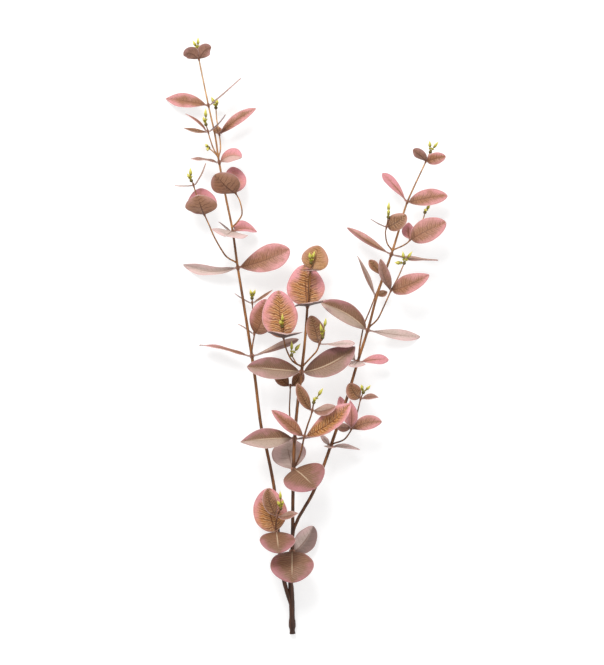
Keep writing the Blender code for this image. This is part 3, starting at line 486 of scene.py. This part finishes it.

# Each leaf finish: the colours of its middle, of its outer part, of its side veins and of its midrib,
# how far out its middle colour reaches, how strong its veins are, and the painted glow of back-light beside
# them
LEAF_COLOURS = {
    "rosy": ((158, 104, 72), (216, 146, 146), (104, 60, 34), (122, 74, 44), 0.60, 0.55, 0.12),
    "pink": ((198, 134, 118), (220, 146, 152), (146, 86, 70), (138, 84, 62), 0.45, 0.35, 0.0),
    # golden: the leaf's golden colour, brightened with painted back-light
    "golden": ((192, 124, 62), (240, 164, 168), (98, 48, 18), (116, 62, 26), 0.62, 0.90, 0.60),
    "ember": ((146, 82, 42), (206, 138, 134), (92, 46, 18), (226, 188, 138), 0.66, 0.75, 0.50),
    "amber": ((184, 132, 84), (206, 150, 122), (118, 72, 34), (122, 78, 38), 0.70, 0.60, 0.30),
    "brown": ((138, 90, 54), (188, 134, 112), (84, 48, 26), (96, 58, 32), 0.72, 0.65, 0.25),
    "tan": ((172, 124, 94), (198, 146, 130), (98, 60, 38), (88, 54, 34), 0.75, 0.75, 0.0),
    "dusky": ((130, 88, 62), (178, 114, 118), (100, 66, 46), (204, 178, 148), 0.68, 0.45, 0.15),
    "mauve": ((158, 114, 94), (192, 142, 134), (108, 70, 54), (112, 76, 58), 0.70, 0.50, 0.0),
    "pale": ((204, 182, 172), (226, 192, 188), (164, 132, 120), (152, 120, 106), 0.60, 0.45, 0.0),
    # dark: mauve darkened with painted shade, for the leaves that stand edge-on
    "dark": ((86, 52, 40), (126, 80, 80), (58, 34, 26), (64, 40, 30), 0.70, 0.40, 0.0),
    "underside": ((180, 150, 136), (208, 172, 164), (138, 104, 88), (134, 100, 84), 0.60, 0.55, 0.0),
}
# PALE_LIGHT is the colour of painted light and DEEP_SHADE the colour of painted shade
PALE_LIGHT = (206, 186, 170)
DEEP_SHADE = (78, 46, 30)
PAINTED_GLOW_BY_VEINS = (246, 214, 158)
RIM_LINE = (150, 108, 108)
PAINTED_RIM_HIGHLIGHT = (232, 204, 196)


def linear(colour):
    """A colour of 0 to 255 a channel as the shader takes it."""
    shares = [channel / 255 for channel in colour]
    return (*[s / 12.92 if s < 0.04045 else ((s + 0.055) / 1.055) ** 2.4 for s in shares], 1)


class Wire:
    """A value in a finish's nodes. A sum that is written with it adds the Math nodes."""

    def __init__(self, finish, socket):
        self.finish = finish
        self.socket = socket

    def math(self, operation, *values):
        return self.finish.node("Math", {"operation": operation}, values)

    def __add__(self, other):
        return self.math("ADD", self, other)

    __radd__ = __add__

    def __sub__(self, other):
        return self.math("SUBTRACT", self, other)

    def __rsub__(self, other):
        return self.math("SUBTRACT", other, self)

    def __mul__(self, other):
        return self.math("MULTIPLY", self, other)

    def __abs__(self):
        return self.math("ABSOLUTE", self)


class Finish:
    """A material that is made of nodes, each added by one method."""

    def __init__(self, name):
        self.material = bpy.data.materials.new(name)
        self.material.use_nodes = True
        self.tree = self.material.node_tree
        self.shader = self.tree.nodes["Principled BSDF"]

    def node(self, kind, settings=None, values=(), output=0):
        """Adds a node: its settings first, then what its sockets hold, by number or by name."""
        made = self.tree.nodes.new("ShaderNode" + kind)
        for setting, value in (settings or {}).items():
            if setting == "stops":
                self.set_stops(made.color_ramp, value)
            else:
                setattr(made, setting, value)
        for socket, value in values.items() if isinstance(values, dict) else enumerate(values):
            if isinstance(value, Wire):
                self.tree.links.new(value.socket, made.inputs[socket])
            else:
                made.inputs[socket].default_value = value
        return Wire(self, made.outputs[output])

    def set_stops(self, ramp, stops):
        """Gives a ramp its stops, each a place and a colour."""
        for place, _ in stops[2:]:
            ramp.elements.new(place)
        for element, (place, colour) in zip(ramp.elements, stops):
            element.position = place
            element.color = linear(colour)

    def feed(self, socket, wire):
        self.tree.links.new(wire.socket, self.shader.inputs[socket])

    def place(self):
        return self.node("TexCoord", output=3)

    def attribute(self, name):
        return self.node("Attribute", {"attribute_name": name}, output=2)

    def noise(self, place, scale, detail=2):
        return self.node("TexNoise", {}, {"Vector": place, "Scale": scale, "Detail": detail})

    def rise(self, value, low, high):
        """0 up to low, 1 from high on, and a soft rise between them."""
        return self.node("MapRange", {"interpolation_type": "SMOOTHSTEP"}, (value, low, high))

    def mix(self, share, first, second):
        """A blend of two colours, each three numbers or a wire."""
        colours = [c if isinstance(c, Wire) else linear(c) for c in (first, second)]
        sockets = {0: share, 6: colours[0], 7: colours[1]}
        return self.node("Mix", {"data_type": "RGBA"}, sockets, output=2)

    def bump(self, height, distance):
        return self.node("Bump", {}, {"Strength": 0.7, "Distance": distance, "Height": height})


def leaf_finish(name):
    """A leaf's finish: brown along the midrib, pink outwards, with branching veins and a thin rim."""
    middle, outer, vein, rib, reach, strength, painted_glow = LEAF_COLOURS[name]
    finish = Finish(name + " leaf")
    way = finish.node("UVMap")
    across = abs(finish.node("SeparateXYZ", {}, [way]) * 2 - 1)
    along = finish.node("SeparateXYZ", {}, [way], output=1)
    place = finish.place()
    clouds = finish.noise(place, 75, 3)
    grain = finish.noise(place, 480, 2)
    lace = finish.noise(place, 260, 3)

    outward = across * 0.60 + along * 0.50 + (clouds - 0.5) * 0.8
    blushed = finish.rise(outward, reach - 0.24, reach + 0.24)
    colour = finish.mix(blushed, middle, outer)

    phase = finish.attribute("phase") + (lace - 0.5) * 0.5
    from_vein = abs(phase.math("FRACT", phase + 0.5) - 0.5)
    fading = 1 - finish.rise(across * 0.8 + along * 0.35, 0.35, 0.95)
    side = (1 - finish.rise(from_vein, 0.03, 0.15)) * fading
    twig_phase = phase * 3 + across * 3.5
    from_twig = abs(phase.math("FRACT", twig_phase) - 0.5)
    side_twigs = (1 - finish.rise(from_twig, 0.08, 0.28)) * fading * 0.55
    veins = side.math("MAXIMUM", side, side_twigs)
    # painted glow of light shining through the blade, in thin lines beside the veins
    if painted_glow:
        glow_lines = finish.rise(from_vein, 0.16, 0.22) * (1 - finish.rise(from_vein, 0.26, 0.34))
        colour = finish.mix(glow_lines * fading * painted_glow, colour, PAINTED_GLOW_BY_VEINS)
    colour = finish.mix(veins * strength, colour, vein)
    midrib = 1 - finish.rise(finish.attribute("midrib_gap"), 0.3, 1.1)
    midrib = midrib * (1 - finish.rise(along, 0.5, 0.9))
    colour = finish.mix(midrib * 0.85, colour, rib)

    # painted light and painted shade on the leaf's two halves, by how light falls on its fold
    tone = finish.attribute("tone")
    colour = finish.mix(finish.rise(tone, 0, 1) * 0.9, colour, PALE_LIGHT)
    colour = finish.mix(finish.rise(0 - tone, 0, 1) * 0.9, colour, DEEP_SHADE)
    # painted shade at the leaf's root, where the blade meets its stem
    root = 1 - finish.rise(along, 0.02, 0.22)
    colour = finish.mix(root * 0.45, colour, DEEP_SHADE)
    colour = finish.mix(finish.rise(grain, 0.45, 0.8) * 0.25, colour, vein)
    rim_gap = finish.attribute("rim_gap")
    inner_line = finish.rise(rim_gap, 0.5, 0.9) * (1 - finish.rise(rim_gap, 1.1, 1.8))
    colour = finish.mix(inner_line * 0.35, colour, RIM_LINE)
    # a painted highlight along the leaf's margin
    colour = finish.mix((1 - finish.rise(rim_gap, 0.2, 0.7)) * 0.5, colour, PAINTED_RIM_HIGHLIGHT)

    finish.feed("Base Color", colour)
    finish.feed("Roughness", 0.36 + grain * 0.3)
    net = finish.node("TexVoronoi", {"feature": "DISTANCE_TO_EDGE"}, {"Vector": place, "Scale": 520})
    relief = finish.rise(net, 0, 0.12) * 0.5 - veins * 0.5
    finish.feed("Normal", finish.bump(relief, 0.0002))
    return finish.material


def bark_finish():
    """Bark: dark chocolate at the cut end, brown and gold in stripes up the stems, tan on the tips."""
    finish = Finish("bark")
    place = finish.place()
    stripes = finish.node("Mapping", {"vector_type": "POINT"}, {"Vector": place, "Scale": (1, 0.05, 1)})
    stripe = finish.noise(stripes, 420, 2)
    streak = finish.noise(stripes, 1500, 3)
    patches = finish.noise(place, 60, 2)
    upward = finish.node("SeparateXYZ", {}, [place], output=1)
    share = (upward + 0.36) * (1 / 0.72) + (patches - 0.5) * 0.12
    dark_stops = [
        (0.0, (50, 26, 14)),
        (0.16, (66, 36, 18)),
        (0.30, (88, 50, 24)),
        (0.60, (108, 66, 36)),
        (0.80, (146, 98, 60)),
        (1.0, (196, 150, 104)),
    ]
    gold_stops = [
        (0.0, (76, 42, 24)),
        (0.16, (98, 56, 28)),
        (0.30, (142, 88, 40)),
        (0.60, (170, 112, 56)),
        (0.80, (204, 150, 94)),
        (1.0, (232, 192, 140)),
    ]
    dark = finish.node("ValToRGB", {"stops": dark_stops}, [share])
    gold = finish.node("ValToRGB", {"stops": gold_stops}, [share])
    colour = finish.mix(finish.rise(stripe, 0.38, 0.62), dark, gold)
    twig_gold = finish.mix(finish.rise(upward, -0.2, 0.25), (178, 118, 46), (212, 160, 96))
    colour = finish.mix(finish.attribute("twig") * 0.8, colour, twig_gold)
    colour = finish.mix(finish.rise(streak, 0.5, 0.7) * 0.4, colour, (64, 36, 18))
    colour = finish.mix(finish.attribute("scar") * 0.75, colour, (62, 36, 22))
    finish.feed("Base Color", colour)
    finish.feed("Roughness", 0.35 + streak * 0.35)
    finish.feed("Normal", finish.bump(streak, 0.0003))
    return finish.material


def nut_finish():
    """Buds: olive at the foot, yellow-green above, pale along their ridges and at the tip."""
    finish = Finish("gum nut")
    place = finish.place()
    freckles = finish.noise(place, 700, 2)
    share = finish.attribute("ripe") + (freckles - 0.5) * 0.2
    stops = [
        (0.0, (88, 72, 28)),
        (0.25, (128, 116, 30)),
        (0.5, (186, 178, 48)),
        (0.8, (222, 214, 88)),
        (1.0, (242, 226, 146)),
    ]
    colour = finish.node("ValToRGB", {"stops": stops}, [share])
    colour = finish.mix(finish.attribute("ridge") * 0.6, colour, (242, 232, 160))
    finish.feed("Base Color", colour)
    finish.feed("Roughness", 0.38 + freckles * 0.25)
    finish.feed("Normal", finish.bump(freckles, 0.00015))
    return finish.material


MATERIALS = {name: leaf_finish(name) for name in LEAF_COLOURS}
MATERIALS["bark"] = bark_finish()
MATERIALS["gum_nut"] = nut_finish()


def smooth(points, step):
    """Places and radii about a step apart on a Catmull-Rom curve through a stem's own."""
    rows = [Vector((*place, radius)) for place, radius in points]
    rows = [2 * rows[0] - rows[1], *rows, 2 * rows[-1] - rows[-2]]
    made = []
    for before, start, end, after in zip(rows, rows[1:], rows[2:], rows[3:]):
        leave, arrive = (end - before) / 2, (after - start) / 2
        count = max(2, round((end - start).length / step))
        for i in range(count):
            t = i / count
            curve = (2 * t**3 - 3 * t**2 + 1) * start + (t**3 - 2 * t**2 + t) * leave
            curve += (3 * t**2 - 2 * t**3) * end + (t**3 - t**2) * arrive
            made.append(curve)
    made.append(rows[-2])
    return [(Vector(row[:3]), row[3]) for row in made]


def tapered(points, foot, tip):
    """Points with a radius that goes evenly from the foot's to the tip's."""
    last = len(points) - 1
    return [(point, foot + (tip - foot) * i / last) for i, point in enumerate(points)]


def smooth_lines():
    """The smooth line of every stem and twig."""
    made = {name: smooth(points, STEP) for name, points in STEMS.items()}
    for name, (_, foot, tip, points) in TWIGS.items():
        made[name] = smooth(tapered(points, foot, tip), STEP)
    return made


def along(line, distance):
    """The place, direction and radius of a line at a distance up from the cut end."""
    for (low, low_radius), (high, high_radius) in zip(line, line[1:]):
        if low.y <= distance <= high.y:
            t = (distance - low.y) / (high.y - low.y)
            radius = low_radius + (high_radius - low_radius) * t
            return low.lerp(high, t), (high - low).normalized(), radius
    raise ValueError(f"the line doesn't reach {distance}")


def only(*things):
    """Selects these objects and nothing else, the first one active."""
    bpy.ops.object.select_all(action="DESELECT")
    for thing in things:
        thing.select_set(True)
    bpy.context.view_layer.objects.active = things[0]


def applied(thing, kind, **settings):
    """Gives an object a modifier and applies it."""
    only(thing)
    modifier = thing.modifiers.new(kind.lower(), kind)
    for setting, value in settings.items():
        setattr(modifier, setting, value)
    bpy.ops.object.modifier_apply(modifier=modifier.name)


def cleaned(thing):
    """Merges doubled points and turns the faces outwards."""
    only(thing)
    bpy.ops.object.mode_set(mode="EDIT")
    bpy.ops.mesh.select_all(action="SELECT")
    bpy.ops.mesh.remove_doubles(threshold=DOUBLES)
    bpy.ops.mesh.normals_make_consistent(inside=False)
    bpy.ops.object.mode_set(mode="OBJECT")


def note(thing, name, values):
    """Keeps a number for each point of a mesh, for its finish to read."""
    layer = thing.data.attributes.new(name, "FLOAT", "POINT")
    layer.data.foreach_set("value", values)


def drawn(sides, profile):
    """A closed form drawn up from a round face, ring by ring: the radius and height of each ring."""
    bpy.ops.object.select_all(action="DESELECT")
    radius, height = profile[0]
    bpy.ops.mesh.primitive_circle_add(
        vertices=sides, radius=radius, fill_type="NGON", location=(0, 0, height)
    )
    made = bpy.context.object
    bpy.ops.object.transform_apply(location=True)
    bpy.ops.object.mode_set(mode="EDIT")
    bpy.ops.mesh.select_all(action="SELECT")
    for (radius, height), (wider, higher) in zip(profile, profile[1:]):
        bpy.ops.mesh.extrude_region_move(TRANSFORM_OT_translate={"value": (0, 0, higher - height)})
        share = wider / radius
        bpy.ops.transform.resize(value=(share, share, 1), center_override=(0, 0, higher))
    bpy.ops.object.mode_set(mode="OBJECT")
    cleaned(made)
    return made


def copied(model, place):
    """A copy of a modelled form with its own mesh, moved to its place."""
    made = model.copy()
    made.data = model.data.copy()
    bpy.context.scene.collection.objects.link(made)
    made.data.transform(place)
    return made


def joined(parts):
    only(*parts)
    if len(parts) > 1:
        bpy.ops.object.join()
    return bpy.context.view_layer.objects.active


def placed(direction, start, scale=(1, 1, 1)):
    """The move that stands a form on its start, along a direction, at a scale."""
    turn = direction.to_track_quat("Z", "Y").to_matrix().to_4x4()
    return Matrix.Translation(start) @ turn @ Matrix.Diagonal((*scale, 1))


def finished(thing, node, sharp_angle):
    """Takes a finished piece to its place in the frame, where it stands for its CAD node."""
    thing.name = "fine_" + node
    thing.data.name = thing.name
    thing.data.transform(TO_PLACE)
    for vert in thing.data.vertices:
        vert.co.z = max(vert.co.z, 0)
    only(thing)
    bpy.ops.object.shade_smooth_by_angle(angle=math.radians(sharp_angle))
    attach(thing, "root")
    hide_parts(node)


def tube(name, line, steps):
    """A stem: a path with a round bevel, made a mesh, with a rounded tip and a little bark relief."""
    tip, radius = line[-1]
    out = (tip - line[-2][0]).normalized()
    line = line + [(tip + out * radius * TIP_ROUNDING, radius * (1 - TIP_ROUNDING))]
    bpy.ops.curve.primitive_bezier_curve_add()
    path = bpy.context.object
    path.data.dimensions = "3D"
    path.data.bevel_depth = 1
    path.data.bevel_resolution = steps
    path.data.use_fill_caps = True
    path.data.splines.clear()
    spline = path.data.splines.new("POLY")
    spline.points.add(len(line) - 1)
    for point, (place, radius) in zip(spline.points, line):
        point.co = (*place, 1)
        point.radius = radius
    only(path)
    bpy.ops.object.convert(target="MESH")
    made = bpy.context.object
    cleaned(made)
    for vert in made.data.vertices:
        rough = noise.noise(Vector((vert.co.x * 1.1, vert.co.y * 0.16, vert.co.z * 1.1)))
        vert.co += vert.normal * (rough * BARK_DEPTH)
    made.name = name
    return made


def swollen(line, nodes, is_main):
    """A stem's line, thicker where leaves grow, and flared at its foot when it is a twig."""
    made = []
    for place, radius in line:
        near = min([abs(place.y - node) for node in nodes], default=SWELL_REACH)
        share = max(0.0, 1 - near / SWELL_REACH)
        radius *= 1 + SWELL * share * share * (3 - 2 * share)
        if not is_main:
            foot = (place - line[0][0]).length
            radius *= 1 + FOOT_FLARE * max(0.0, 1 - foot / FLARE_REACH) ** 2
        made.append((place, radius))
    return made


def stem(name, lines):
    """A stem with the twigs that grow from it and, on the main stem, its forks."""
    nodes = {}
    for line, distance, _ in LEAVES.values():
        nodes.setdefault(line, []).append(distance)
    parts = [tube(name, swollen(lines[name], nodes.get(name, []), True), STEM_SIDES)]
    if name == "main_stem":
        for radius, points in FORKS:
            parts.append(tube("fork", smooth(tapered(points, radius, radius), STEP), STEM_SIDES))
    forks = len(parts)
    for twig, spec in TWIGS.items():
        if spec[0] == name:
            parts.append(tube(twig, swollen(lines[twig], nodes.get(twig, []), False), TWIG_SIDES))
    for i, part in enumerate(parts):
        note(part, "twig", [float(i >= forks)] * len(part.data.vertices))
    helpers = bpy.data.collections.new("twigs")
    bpy.context.scene.collection.children.link(helpers)
    for part in parts[1:]:
        helpers.objects.link(part)
    applied(
        parts[0], "BOOLEAN", operation="UNION", operand_type="COLLECTION", collection=helpers, solver="EXACT"
    )
    for part in parts[1:]:
        bpy.data.objects.remove(part)
    bpy.data.collections.remove(helpers)
    made = parts[0]
    places = [along(lines[line], d)[0] for line, ds in nodes.items() for d in ds]
    scars = []
    for vert in made.data.vertices:
        near = min((vert.co - place).length for place in places)
        scars.append(max(0.0, 1 - near / 6) ** 0.7)
    note(made, "scar", scars)
    made.data.materials.clear()
    made.data.materials.append(MATERIALS["bark"])
    finished(made, name, 50)


def half_width(spec, u):
    """Half the leaf's width at the share u of its length."""
    widest, base, tip = spec["shape"]
    if u < widest:
        share = math.sin(math.pi / 2 * u / widest) ** base
    else:
        share = max(0.0, math.cos(math.pi / 2 * (u - widest) / (1 - widest))) ** tip
    return max(ROOT_HALF_WIDTH * (1 - 2 * u), spec["wide"] / 2 * share)


def midrib_bends(spec, node, direction, wall):
    """The three points of a leaf's midrib: in its sleeve's wall, at its bend and at its tip."""
    reach = spec["reach"]
    bend = node + reach / 2 + spec["via"]
    away = bend - node
    away = (away - away.dot(direction) * direction).normalized()
    return node + away * wall, bend, node + reach


def midrib(bends, u):
    """The place and direction of a midrib at the share u of its length."""
    start, bend, end = bends
    place = (1 - u) ** 2 * start + 2 * u * (1 - u) * bend + u**2 * end
    return place, (2 * (1 - u) * (bend - start) + 2 * u * (end - bend)).normalized()


def blade_frame(spec, bends, u, a):
    """The midrib's place at u, the way across the blade on the side of a, and the blade's normal."""
    place, direction = midrib(bends, u)
    face = spec["face"]
    normal = (face - face.dot(direction) * direction).normalized()
    normal = Matrix.Rotation(spec["twist"] * u**1.5, 3, direction) @ normal
    fold = math.copysign(spec["fold"], a)
    across = direction.cross(normal) * math.cos(fold) + normal * math.sin(fold)
    return place, across, normal


def vein_phase(spec, a, s, wander):
    """A number that passes a whole one at each side vein. The veins wander, and differ on the two sides."""
    veins = max(4, round(spec["reach"].length / VEIN_GAP))
    uneven = noise.noise(Vector((a * 2.2, s * 5, 0)) + wander) * VEIN_WANDER
    return s * veins + 0.5 * (a > 0) * min(1, abs(a) * 9) + uneven


def relief(spec, u, a, phase, width, wander):
    """How far a point of the blade stands off its smooth middle: waves, curl, clouds and veins."""
    ripple = spec["wave"] * math.sin(WAVE_TURNS * math.tau * u + WAVE_START) * a * abs(a)
    ripple *= min(1, 4 * u)
    size = min(1.0, spec["wide"] / 30)
    cloud = noise.noise(Vector((a * 1.3, u * 2.6, 0)) + wander) * UNDULATION * size * min(1, 5 * u)
    curl = CURL * size * a**4 * min(1, 3 * u)
    from_vein = abs((phase + 0.5) % 1 - 0.5)
    vein = VEIN_DEPTH * size * math.exp(-((from_vein / VEIN_WIDTH) ** 2)) * (1 - a * a)
    rib = MIDRIB_DEPTH * math.exp(-((a * width / MIDRIB_WIDTH) ** 2)) * (1 - u)
    return ripple + cloud - curl - vein - rib


def blade(spec, bends, look, chance):
    """One leaf: a grid drawn to the leaf's outline, each row along a side vein, then given a wall."""
    seen, high_half_light_shade, low_half_light_shade = look
    length = spec["reach"].length
    rows = max(16, round(length / ROW))
    columns = 2 * max(5, round(spec["wide"] / 2 / COLUMN))
    bpy.ops.object.select_all(action="DESELECT")
    bpy.ops.mesh.primitive_grid_add(x_subdivisions=columns, y_subdivisions=rows, size=2)
    made = bpy.context.object
    mesh = made.data
    wander = Vector([chance.uniform(0, 50) for _ in range(3)])
    seen_from_above = blade_frame(spec, bends, 0.5, 0.1)[2].z > 0
    right_is_high = blade_frame(spec, bends, 0.5, 1)[1].dot(Vector((0.2, 1, 0))) > 0
    ways, thick, phases, rim_gaps, midrib_gaps, painted_light_shades = [], [], [], [], [], []
    for vert in mesh.vertices:
        a, t = vert.co.x, (vert.co.y + 1) / 2
        s = 0.5 * t + 0.25 * (1 - math.cos(math.pi * t))
        u = s + SWEEP * abs(a) * 4 * s * (1 - s)
        width = half_width(spec, u)
        width *= 1 + OUTLINE_WANDER * noise.noise(Vector((math.copysign(1, a), u * 4, 0)) + wander)
        place, across, normal = blade_frame(spec, bends, u, a)
        phase = vein_phase(spec, a, s, wander)
        vert.co = place + across * (a * width) + normal * relief(spec, u, a, phase, width, wander)
        body = (BLADE + (BLADE_AT_ROOT - BLADE) * max(0, 1 - 4 * u)) * math.sqrt(max(0, 1 - a * a))
        vert.co.z = max(vert.co.z, body / 2)
        ways.append((a / 2 + 0.5, s))
        phases.append(phase)
        thick.append(body / BLADE_AT_ROOT)
        rim_gaps.append((1 - abs(a)) * width)
        midrib_gaps.append(abs(a) * width)
        # each half's painted light (+) and painted shade (-), blended across the midrib
        share = min(1, max(-1, a * 6)) / 2 + 0.5
        right, left = (high_half_light_shade, low_half_light_shade) if right_is_high else (low_half_light_shade, high_half_light_shade)
        painted_light_shades.append(left + (right - left) * share)
    note(made, "phase", phases)
    note(made, "rim_gap", rim_gaps)
    note(made, "midrib_gap", midrib_gaps)
    note(made, "tone", painted_light_shades)
    uv = mesh.uv_layers[0]
    for loop in mesh.loops:
        uv.data[loop.index].uv = ways[loop.vertex_index]
    group = made.vertex_groups.new(name="thick")
    for index, weight in enumerate(thick):
        group.add([index], weight, "REPLACE")
    only(made)
    bpy.ops.object.mode_set(mode="EDIT")
    bpy.ops.mesh.select_all(action="SELECT")
    bpy.ops.mesh.remove_doubles(threshold=DOUBLES)
    bpy.ops.object.mode_set(mode="OBJECT")
    finishes = [seen, "underside"] if seen_from_above else ["underside", seen]
    for finish in finishes:
        mesh.materials.append(MATERIALS[finish])
    applied(
        made, "SOLIDIFY", thickness=BLADE_AT_ROOT, offset=0, vertex_group="thick",
        thickness_vertex_group=MARGIN_THICKNESS / BLADE_AT_ROOT, material_offset=1,
    )
    made.vertex_groups.clear()
    return made


def leaves(node, line, distance, specs, collar_model):
    """The leaves at one place and the swollen collar where they grow together round their stem."""
    place, direction, radius = along(line, distance)
    inner = (radius + FIT_GAP) / math.cos(math.pi / SLEEVE_SIDES)
    wall = (inner + inner + SLEEVE_WALL) / 2
    chance = random.Random(node)
    parts = []
    for spec, look in zip(specs, FINISHES[node]):
        parts.append(blade(spec, midrib_bends(spec, place, direction, wall), look, chance))
    collar = copied(collar_model, placed(direction, place, (radius + 0.2, radius + 0.2, 1)))
    # the collar gets painted shade, where it sits between the blades and the stem
    note(collar, "tone", [-0.35] * len(collar.data.vertices))
    note(collar, "rim_gap", [5.0] * len(collar.data.vertices))
    note(collar, "midrib_gap", [5.0] * len(collar.data.vertices))
    collar.data.materials.append(MATERIALS["brown"])
    made = joined(parts + [collar])
    finished(made, node, 60)


def bud_model():
    """One gum nut bud, a unit long and a unit wide: pointed, with four ridges drawn up its sides."""
    profile = [
        (0.34, 0.0), (0.62, 0.06), (0.88, 0.16), (1.0, 0.28), (0.97, 0.40), (0.84, 0.52),
        (0.64, 0.64), (0.44, 0.75), (0.27, 0.85), (0.13, 0.93), (0.04, 1.0),
    ]
    made = drawn(16, profile)
    note(made, "ridge", [0.0] * len(made.data.vertices))
    ridge = made.data.attributes["ridge"]
    for vert in made.data.vertices:
        angle = math.atan2(vert.co.y, vert.co.x)
        height = vert.co.z
        crest = max(0.0, math.cos(4 * angle)) ** 2 * math.sin(math.pi * min(1, height))
        vert.co.x *= 1 + 0.16 * crest
        vert.co.y *= (1 + 0.16 * crest) * 0.86
        vert.co.x += 0.12 * math.sin(math.pi * height)
        ridge.data[vert.index].value = crest
    note(made, "ripe", [0.15 + 0.85 * vert.co.z for vert in made.data.vertices])
    return made


def plain_model(sides, profile, low, high):
    """A drawn form of the bud cluster, coloured from its foot to its top."""
    made = drawn(sides, profile)
    top = profile[-1][1]
    note(made, "ridge", [0.0] * len(made.data.vertices))
    note(made, "ripe", [low + (high - low) * vert.co.z / top for vert in made.data.vertices])
    return made


def gum_nuts(node, line, ways, models):
    """The buds at the end of a line: a dark knob with small bracts, and buds on short stalks."""
    tip, radius = line[-1]
    direction = (tip - line[-2][0]).normalized()
    start = tip + direction * FIT_GAP
    parts = [copied(models["knob"], placed(direction, start, (KNOB_RADIUS, KNOB_RADIUS, KNOB_HEIGHT)))]
    foot = start + direction * (KNOB_HEIGHT * 0.45)
    chance = random.Random(node)
    for way in ways:
        stalk = tip + Vector(way) - foot
        out = stalk.normalized()
        swollen_length = min(stalk.length * 0.62, LONGEST_NUT * 1.15)
        bare = stalk.length - swollen_length
        stalk_place = placed(out, foot, (NUT_STALK_RADIUS, NUT_STALK_RADIUS, bare + 0.6))
        parts.append(copied(models["stalk"], stalk_place))
        turn = Matrix.Rotation(chance.uniform(0, math.tau), 4, "Z")
        size = (NUT_RADIUS * 1.06, NUT_RADIUS * 1.06, swollen_length)
        parts.append(copied(models["bud"], placed(out, foot + out * bare, size) @ turn))
        side = out.orthogonal().normalized()
        for quarter in (0, 2):
            lean = Matrix.Rotation(quarter * math.pi / 2 + 0.6, 3, out) @ side
            bract_way = (out * 0.82 + lean * 0.6).normalized()
            bract_place = placed(bract_way, foot + out * (bare * 0.5), (0.75, 0.75, 3.4))
            parts.append(copied(models["bract"], bract_place))
    made = joined(parts)
    made.data.materials.clear()
    made.data.materials.append(MATERIALS["gum_nut"])
    finished(made, node, 50)


def main():
    """Builds every piece round the frame, then the camera, the floor and the light."""
    lines = smooth_lines()
    for name in STEMS:
        stem(name, lines)
    collar = drawn(18, [(0.9, -3.4), (1.25, -2.2), (1.5, -0.6), (1.55, 0.6), (1.3, 1.7), (0.9, 2.6)])
    for node, (line, distance, specs) in LEAVES.items():
        leaves(node, lines[line], distance, specs, collar)
    models = {
        "bud": bud_model(),
        "stalk": plain_model(8, [(1.25, 0), (1.0, 0.2), (0.9, 0.6), (1.1, 1)], 0.2, 0.35),
        "knob": plain_model(
            12, [(0.45, 0), (0.8, 0.18), (1, 0.42), (0.92, 0.62), (0.6, 0.85), (0.2, 1)], 0.0, 0.15
        ),
        "bract": plain_model(
            8, [(0.5, 0), (0.9, 0.2), (1, 0.45), (0.7, 0.7), (0.3, 0.9), (0.08, 1)], 0.25, 0.6
        ),
    }
    for node, (line, ways) in GUM_NUTS.items():
        gum_nuts(node, lines[line], ways, models)
    for model in [collar, *models.values()]:
        bpy.data.objects.remove(model)
    studio()


def studio():
    """A pale floor, a large soft light from the top of the picture, and the camera straight above."""
    camera = bpy.data.objects.new("camera", bpy.data.cameras.new("camera"))
    bpy.context.scene.collection.objects.link(camera)
    camera.data.lens = LENS
    camera.data.sensor_width = SENSOR
    distance = VIEW_HEIGHT / 2 * LENS / (SENSOR / 2)
    camera.location = (*VIEW_MIDDLE, STEM_LEVEL + distance)
    bpy.context.scene.camera = camera

    bpy.ops.object.select_all(action="DESELECT")
    bpy.ops.mesh.primitive_plane_add(size=12)
    floor = bpy.context.object
    floor.name = "floor"
    finish = Finish("floor")
    cloud = finish.noise(finish.place(), 4, 2)
    finish.feed("Base Color", finish.mix(cloud, (190, 190, 190), (184, 184, 184)))
    finish.feed("Roughness", 0.8 + cloud * 0.1)
    finish.shader.inputs["Emission Color"].default_value = (1, 1, 1, 1)
    finish.shader.inputs["Emission Strength"].default_value = FLOOR_GLOW
    floor.data.materials.append(finish.material)
    floor.location.z = -0.0005

    lights = [
        ("key", (-0.6, 1.7, 2.0), 1.2, 54.0),
        ("fill", (1.6, -0.8, 2.4), 2.2, 12.0),
    ]
    for name, place, size, power in lights:
        light = bpy.data.lights.new(name, "AREA")
        light.size = size
        light.energy = power
        lamp = bpy.data.objects.new(name, light)
        bpy.context.scene.collection.objects.link(lamp)
        lamp.location = place
        lamp.rotation_euler = (-Vector(place)).to_track_quat("-Z", "Y").to_euler()
    world = bpy.context.scene.world or bpy.data.worlds.new("world")
    bpy.context.scene.world = world
    world.use_nodes = True
    background = world.node_tree.nodes["Background"]
    background.inputs["Color"].default_value = (1, 1, 1, 1)
    background.inputs["Strength"].default_value = 0.52
    bpy.context.scene.view_settings.view_transform = "Standard"


main()
